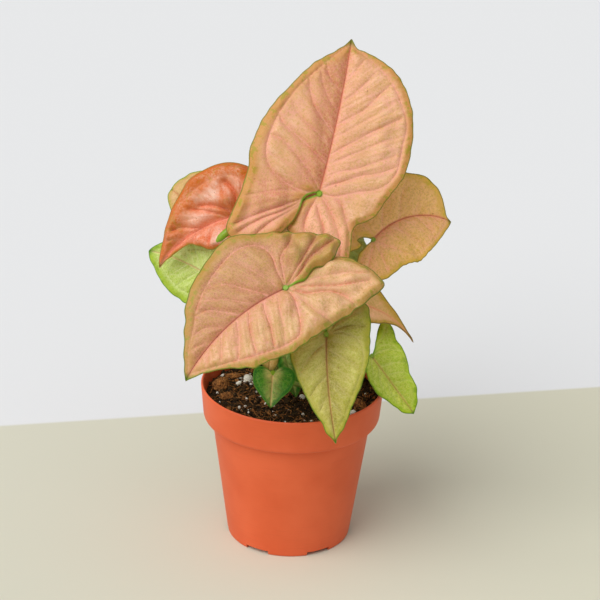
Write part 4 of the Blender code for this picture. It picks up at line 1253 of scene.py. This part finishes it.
def stalk_path(foot, one, count):
    """Points of a stalk from the crown to just under the blade."""
    normal = leaf_axes(one["face"], one["clock"])[2]
    seat = np.array(one["at"]) - normal * (SOLID_THICKNESS / 2 + GAP + STALK_TIP_RADIUS)
    start = np.array([foot[0], foot[1], SOIL_TOP + 2.0])
    height = seat[2] - start[2]
    onward = (seat - start) / np.linalg.norm(seat - start)
    first = start + np.array([one["lean"][0], one["lean"][1], STALK_RISE * height])
    last = seat - 0.4 * height * (0.5 * np.array([0, 0, 1]) + 0.5 * onward)
    t = np.linspace(0, 1, count)[:, None]
    path = (1 - t)**3 * start + 3 * (1 - t)**2 * t * first + 3 * (1 - t) * t**2 * last + t**3 * seat
    return np.vstack([path, seat + normal * (STALK_TIP_RADIUS + GAP + 0.1)])


def make_shoot(name, place, leaves, material):
    """A crown standing in the soil, with a stalk for each leaf, sheathed at the foot."""
    pile = Pile()
    depth, widening = np.array(CROWN_PROFILE).T
    crown = [(place[0], place[1], SOIL_TOP + z) for z in depth]
    pile.add(*tube(crown, CROWN_RADIUS + widening, CROWN_SIDES))
    for k, leaf_name in enumerate(leaves):
        one = LEAVES[leaf_name]
        turn = math.tau * k / len(leaves)
        foot = (place[0] + STALK_SPREAD * math.cos(turn), place[1] + STALK_SPREAD * math.sin(turn))
        count = max(24, round((one["at"][2] - SOIL_TOP) / 2.5))
        part = np.linspace(0, 1, count + 1)
        widths = STALK_FOOT_RADIUS + (STALK_TIP_RADIUS - STALK_FOOT_RADIUS) * part
        widths += 0.5 * bell(part, 0.12) + 0.35 * bell(1 - part, 0.02)
        dent = 0.55 * np.clip(1 - part / 0.45, 0, 1)
        pile.add(*tube(stalk_path(foot, one, count), widths, STALK_SIDES, dent))
    if name == ROLLED_LEAF_SHOOT:
        route = [(place[0], place[1], SOIL_TOP + 2)] + ROLLED_LEAF_ROUTE
        part, radius = zip(*ROLLED_LEAF_RADII)
        widths = np.interp(np.linspace(0, 1, ROLLED_LEAF_RINGS), part, radius)
        pile.add(*tube(smooth_curve(route, ROLLED_LEAF_RINGS), widths, STALK_SIDES))
    dress(pile.piece(name + "_stalks", smooth=True), material, "stalk", name)


def rounded(profile, radius, steps=4):
    """A profile with each of its corners rounded."""
    p = [np.array(q, float) for q in profile]
    out = [p[0]]
    for before, here, after in zip(p, p[1:], p[2:]):
        reach = min(radius, 0.45 * np.linalg.norm(before - here), 0.45 * np.linalg.norm(after - here))
        a = here + reach * (before - here) / np.linalg.norm(before - here)
        b = here + reach * (after - here) / np.linalg.norm(after - here)
        for t in np.linspace(0, 1, steps + 1):
            out.append((1 - t) ** 2 * a + 2 * (1 - t) * t * here + t ** 2 * b)
    return out + [p[-1]]


def pot_profiles():
    """The pot's outer and inner surfaces, each as (radius, height) from the axis out and up."""
    neck_top = POT_BAND_BOTTOM - 2.0
    foot_inner = POT_BASE_RADIUS - POT_FOOT_WIDTH
    channel_inner = foot_inner - POT_CHANNEL_WIDTH
    rise = POT_CHANNEL_RISE
    lean = POT_CHANNEL_SLOPE
    edge = POT_BAND_ROUND
    taper = (POT_NECK_RADIUS - POT_BASE_RADIUS) / neck_top
    outer = [
        (0, 0), (channel_inner - lean, 0), (channel_inner, rise), (foot_inner, rise),
        (foot_inner + lean / 3, 0), (POT_BASE_RADIUS - POT_FOOT_ROUND / 2, 0),
        (POT_BASE_RADIUS, POT_FOOT_ROUND), (POT_NECK_RADIUS, neck_top),
        (POT_NECK_RADIUS + 0.5, POT_BAND_BOTTOM - 0.5), (POT_NECK_RADIUS + 1.4, POT_BAND_BOTTOM),
        (POT_BAND_RADIUS - 0.8 * edge, POT_BAND_BOTTOM),
        (POT_BAND_RADIUS - 0.2 * edge, POT_BAND_BOTTOM + 0.35 * edge),
        (POT_BAND_RADIUS, POT_BAND_BOTTOM + edge),
        (POT_TOP_RADIUS, POT_HEIGHT - POT_LIP_ROUND), (POT_TOP_RADIUS - POT_LIP_ROUND, POT_HEIGHT),
    ]
    floor_radius = POT_BASE_RADIUS - POT_WALL + taper * (rise + POT_WALL)
    inner = [
        (0, POT_WALL), (channel_inner - 2 * lean, POT_WALL), (channel_inner - lean, rise + POT_WALL),
        (floor_radius, rise + POT_WALL),
        (POT_NECK_RADIUS - POT_WALL, POT_BAND_BOTTOM - 1),
        (POT_BAND_RADIUS - POT_WALL - 0.4, POT_BAND_BOTTOM + 2.0),
        (POT_TOP_RADIUS - POT_WALL, POT_HEIGHT - POT_LIP_ROUND),
    ]
    return outer, inner


def turned_pot():
    """The pot's shell, turned from its rounded profile."""
    outer, inner = pot_profiles()
    lip = (POT_TOP_RADIUS - POT_WALL + POT_LIP_ROUND, POT_HEIGHT)
    angles = math.tau * np.arange(POT_SEGMENTS) / POT_SEGMENTS
    profile = rounded(outer + [lip] + inner[::-1], POT_EDGE_ROUND)
    points = []
    rings = [add_ring(points, radius, height, angles) for radius, height in profile]
    faces = []
    for lower, upper in zip(rings, rings[1:]):
        faces += ring_faces(lower, upper)
    return mesh_object("pot_shell", points, faces)


def pot_cutters():
    """The bodies that cut the drain holes and the foot notches."""
    cutters = []
    channel_radius = POT_BASE_RADIUS - POT_FOOT_WIDTH - POT_CHANNEL_WIDTH / 2
    for k in range(DRAIN_HOLES):
        angle = math.tau * k / DRAIN_HOLES
        bpy.ops.mesh.primitive_cylinder_add(
            vertices=32, radius=DRAIN_HOLE_RADIUS * MM, depth=12 * MM,
            location=(channel_radius * math.cos(angle) * MM,
                      channel_radius * math.sin(angle) * MM, POT_CHANNEL_RISE * MM))
        cutters.append(bpy.context.object)
    width, depth, height = FOOT_NOTCH_SIZE
    for k in range(DRAIN_HOLES):
        angle = math.radians(FOOT_NOTCH_TURN) + math.tau * k / DRAIN_HOLES
        bpy.ops.mesh.primitive_cube_add(
            size=1.0, rotation=(0.0, 0.0, angle),
            location=(POT_BASE_RADIUS * math.sin(angle) * MM,
                      -POT_BASE_RADIUS * math.cos(angle) * MM, 0.0))
        bpy.context.object.scale = (width * MM, depth * MM, 2 * height * MM)
        cutters.append(bpy.context.object)
    return cutters


def make_pot(material):
    """The pot, with its drain holes and foot notches."""
    pot = turned_pot()
    cutters = pot_cutters()
    group = bpy.data.collections.new("pot_cutters")
    for cutter in cutters:
        group.objects.link(cutter)
    cut = pot.modifiers.new("cut", "BOOLEAN")
    cut.operand_type = "COLLECTION"
    cut.collection = group
    cut.solver = "EXACT"
    graph = bpy.context.evaluated_depsgraph_get()
    mesh = bpy.data.meshes.new_from_object(pot.evaluated_get(graph))
    pot.modifiers.clear()
    pot.data = mesh
    for cutter in cutters:
        bpy.data.objects.remove(cutter, do_unlink=True)
    bpy.data.collections.remove(group)
    pot.data.shade_smooth()
    pot.data.set_sharp_from_angle(angle=math.radians(38))
    dress(pot, material, "pot_plastic", "pot")


def soil_height(x, y):
    """Height of the soil's surface, with lumps of several sizes."""
    height = 0.9 * np.sin(0.31 * x + 1.0) * np.cos(0.27 * y - 0.4)
    height += 0.55 * np.sin(0.55 * x - 0.48 * y + 2.0) + 0.35 * np.cos(0.9 * y + 0.7 * x)
    height += 0.35 * np.sin(1.7 * x + 0.6 * y) * np.cos(1.5 * y - 0.8 * x + 1.3)
    height += 0.22 * np.sin(3.1 * x - 1.1 * y + 0.4) * np.cos(2.7 * y + 0.9 * x)
    return SOIL_TOP + 0.4 * height


def soil_radius():
    """Radius of the soil's surface, just inside the pot's wall."""
    (low_radius, low), (high_radius, high) = pot_profiles()[1][5:7]
    wall = low_radius - GAP + (high_radius - low_radius) * (SOIL_TOP - low) / (high - low)
    return wall - 0.1


def upward(faces):
    """The same faces, turned over, with the same first corners."""
    return [[first, *others[::-1]] for first, *others in faces]


def make_soil(rng, radius, material):
    """The soil: a lumpy surface on a plug that fills the pot down to its floor."""
    steps = np.arange(SOIL_SEGMENTS)
    rings = int(radius / SOIL_STEP)
    points = []
    faces = []
    inner = add_ring(points, 0.0, 0.0, steps)
    for ring in range(1, rings + 1):
        angles = math.tau * (steps + 0.5 * (ring % 2)) / SOIL_SEGMENTS
        outer = add_ring(points, radius * ring / rings, 0.0, angles)
        faces += upward(ring_faces(inner, outer))
        inner = outer
    surface = np.array(points)
    surface[:, 2] = soil_height(surface[:, 0], surface[:, 1])
    surface[:, 2] += rng.uniform(-SOIL_ROUGH, SOIL_ROUGH, len(points))
    points = surface.tolist()
    upper = inner
    for side, height in pot_profiles()[1][5:0:-1]:
        lower = add_ring(points, side - GAP, height + GAP, angles)
        faces += upward(ring_faces(upper, lower))
        upper = lower
    faces.append(upper[::-1])
    dress(mesh_object("soil_surface", points, faces, smooth=False), material, "soil", "soil")


def rough_stone(rng, place, half, turn, level, rough=0.16):
    """Points and faces of a rough lump lying at a level."""
    mesh = bmesh.new()
    bmesh.ops.create_icosphere(mesh, subdivisions=level, radius=1.0)
    points = np.array([tuple(v.co) for v in mesh.verts])
    faces = [[v.index for v in f.verts] for f in mesh.faces]
    mesh.free()
    waves = rng.normal(0, 1.6, (4, 3))
    phase = rng.uniform(0, math.tau, 4)
    swell = 1 + rough * np.sin(points @ waves.T + phase).sum(axis=1) / 2
    points = points * swell[:, None] * (1 + rng.uniform(-rough, rough, (len(points), 1)) * 0.5)
    points = points * np.array(half)
    spin = rng.uniform(-0.35, 0.35, 2)
    turned = Matrix.Rotation(math.radians(turn), 3, "Z") @ Matrix.Rotation(
        spin[0], 3, "X") @ Matrix.Rotation(spin[1], 3, "Y")
    return points @ np.array(turned).T + np.array(place), faces


def soil_spot(rng, radius, low, high):
    """A random place on the soil, from a share low to a share high of its area outwards."""
    r = radius * math.sqrt(rng.uniform(low, high))
    angle = rng.uniform(0, math.tau)
    return r * math.cos(angle), r * math.sin(angle)


def make_crumbs(rng, radius, earth, bark):
    """Crumbs over the whole soil, some of them of bark."""
    crumbs = Pile()
    splinters = Pile()
    for k in range(CRUMBS):
        x, y = soil_spot(rng, radius, 0, 0.97)
        size = min(2.2, 0.45 + rng.exponential(0.38))
        half = size * rng.uniform(0.6, 1.2, 3)
        pile = splinters if k % BARK_CRUMB_EVERY == 0 else crumbs
        pile.add(*rough_stone(rng, (x, y, soil_height(x, y) + 0.25 * size), half,
                              rng.uniform(0, 360), 1, 0.25))
    dress(crumbs.piece("soil_crumbs"), earth, "soil")
    dress(splinters.piece("bark_crumbs"), bark, "bark")


def make_fibres(rng, radius, bark):
    """Thin bent fibres lying over the soil."""
    fibres = Pile()
    for _ in range(FIBRES):
        x, y = soil_spot(rng, radius, 0, 0.9)
        heading = rng.uniform(0, math.tau)
        length = rng.uniform(3, 9)
        bow = rng.uniform(-0.5, 0.5)
        path = []
        for t in np.linspace(-0.5, 0.5, 6):
            aside = 1.2 * bow * t * t
            px = x + length * (t * math.cos(heading) - aside * math.sin(heading))
            py = y + length * (t * math.sin(heading) + aside * math.cos(heading))
            if math.hypot(px, py) > radius - 0.5:
                break
            lift = 0.7 + rng.uniform(0, 1) * (1 - 4 * t * t)
            path.append((px, py, soil_height(px, py) + lift))
        if len(path) > 3:
            width = rng.uniform(0.12, 0.3)
            fibres.add(*tube(path, [width] * len(path), 5))
    dress(fibres.piece("soil_fibres", smooth=True), bark, "bark")


def make_grains(rng, radius, white):
    """Small white grains, scattered and in one heap."""
    grains = Pile()
    for k in range(SMALL_GRAINS + HEAP_GRAINS):
        x, y = soil_spot(rng, radius, 0.02, 0.95)
        size = rng.uniform(0.35, 1.1)
        if k >= SMALL_GRAINS:
            x, y = np.array(HEAP) + rng.normal(0, HEAP_SPREAD, 2)
        half = size * rng.uniform(0.7, 1.1, 3)
        grains.add(*rough_stone(rng, (x, y, soil_height(x, y) + 0.5 * size), half,
                                rng.uniform(0, 360), 2, 0.3))
    dress(grains.piece("perlite_small_grains"), white, "perlite")


def make_loose_pieces(rng, kind, slot, material, rough):
    """Finer forms of the chips and grains of the solids."""
    for name, (place, half, turn) in kind.items():
        seat = (place[0], place[1], SOIL_TOP + GAP + 0.6 * half[2])
        points, faces = rough_stone(rng, seat, half, turn, 4, rough)
        dress(mesh_object(name + "_piece", points, faces, smooth=False), material, slot, name)


def make_stage():
    """A plain pale floor: a beige sheet in front, a little darker towards +X as painted shade, and
    near-white behind it.
    """
    reach = FLOOR_REACH
    points = [(-reach, -reach, 0), (reach, -reach, 0), (reach, reach, 0), (-reach, reach, 0)]
    floor = mesh_object("floor", points, [[0, 1, 2, 3]])
    material, tree, shader, place = new_material("floor_paint")
    parts = node(tree, "SeparateXYZ", {0: place})
    across = parts.outputs["X"]
    behind = math_node(tree, "SUBTRACT", parts.outputs["Y"], multiply(tree, across, SHEET_SLANT))
    # The sheet darkens slightly towards +X: painted shade for the light falling off to the right.
    colour = layered(tree, srgb(216, 215, 197), [
        (srgb(214, 212, 191), fade(tree, across, -260.0, 300.0)),
        (srgb(228, 219, 201), noise(tree, place, 0.004, 3.0, 0.5), 0.15),
        (srgb(233, 234, 235), fade(tree, behind, SHEET_END - SHEET_EDGE, SHEET_END + SHEET_EDGE))])
    feed(tree, shader, {"Base Color": colour, "Roughness": 0.9, "Specular IOR Level": 0.1})
    floor.data.materials.append(material)


def make_sun(name, turn, height, strength, softness):
    """Light from a wide source."""
    light = bpy.data.lights.new(name, "SUN")
    light.energy = strength
    light.angle = math.radians(softness)
    obj = add_object(name, light)
    towards = Vector(direction(turn, height))
    obj.location = towards
    obj.rotation_euler = (-towards).to_track_quat("-Z", "Y").to_euler()


def make_lights():
    """Soft light from the upper left, from above and from all round."""
    for name, sun in SUNS.items():
        make_sun(name, *sun)
    world = bpy.data.worlds.new("studio")
    world.use_nodes = True
    background = world.node_tree.nodes["Background"]
    background.inputs["Color"].default_value = (1.0, 1.0, 1.0, 1.0)
    background.inputs["Strength"].default_value = SKY_STRENGTH
    bpy.context.scene.world = world


def make_camera():
    """The photograph's viewpoint: a long lens, from in front and above."""
    tilt = math.radians(CAMERA_ELEVATION)
    roll = math.radians(CAMERA_ROLL)
    forward = Vector((0, math.cos(tilt), -math.sin(tilt)))
    right = Vector((1, 0, 0))
    up = Vector((0, math.sin(tilt), math.cos(tilt)))
    turned_right = right * math.cos(roll) + up * math.sin(roll)
    turned_up = up * math.cos(roll) - right * math.sin(roll)
    camera = bpy.data.cameras.new("camera")
    camera.lens = CAMERA_LENS
    camera.sensor_width = CAMERA_SENSOR
    camera.clip_end = 20.0
    obj = add_object("camera", camera)
    axes = Matrix((turned_right, turned_up, -forward)).transposed()
    place = (Vector(CAMERA_AIM) - CAMERA_DISTANCE * forward) * MM
    obj.matrix_world = Matrix.Translation(place) @ axes.to_4x4()
    bpy.context.scene.camera = obj


def main():
    make_camera()
    make_lights()
    make_stage()
    bpy.context.scene.view_settings.view_transform = "Standard"
    make_pot(pot_material())
    rng = np.random.default_rng(7)
    radius = soil_radius()
    earth = soil_material()
    bark = bark_material()
    white = perlite_material()
    make_soil(rng, radius, earth)
    make_crumbs(rng, radius, earth, bark)
    make_fibres(rng, radius, bark)
    make_grains(rng, radius, white)
    make_loose_pieces(rng, BARK_CHIPS, "bark", bark, 0.2)
    make_loose_pieces(rng, PERLITE_GRAINS, "perlite", white, 0.25)
    green = stalk_material()
    for name, (place, leaves) in SHOOTS.items():
        make_shoot(name, place, leaves, green)
    for seed, (name, one) in enumerate(LEAVES.items()):
        make_leaf(name, one, seed)


main()
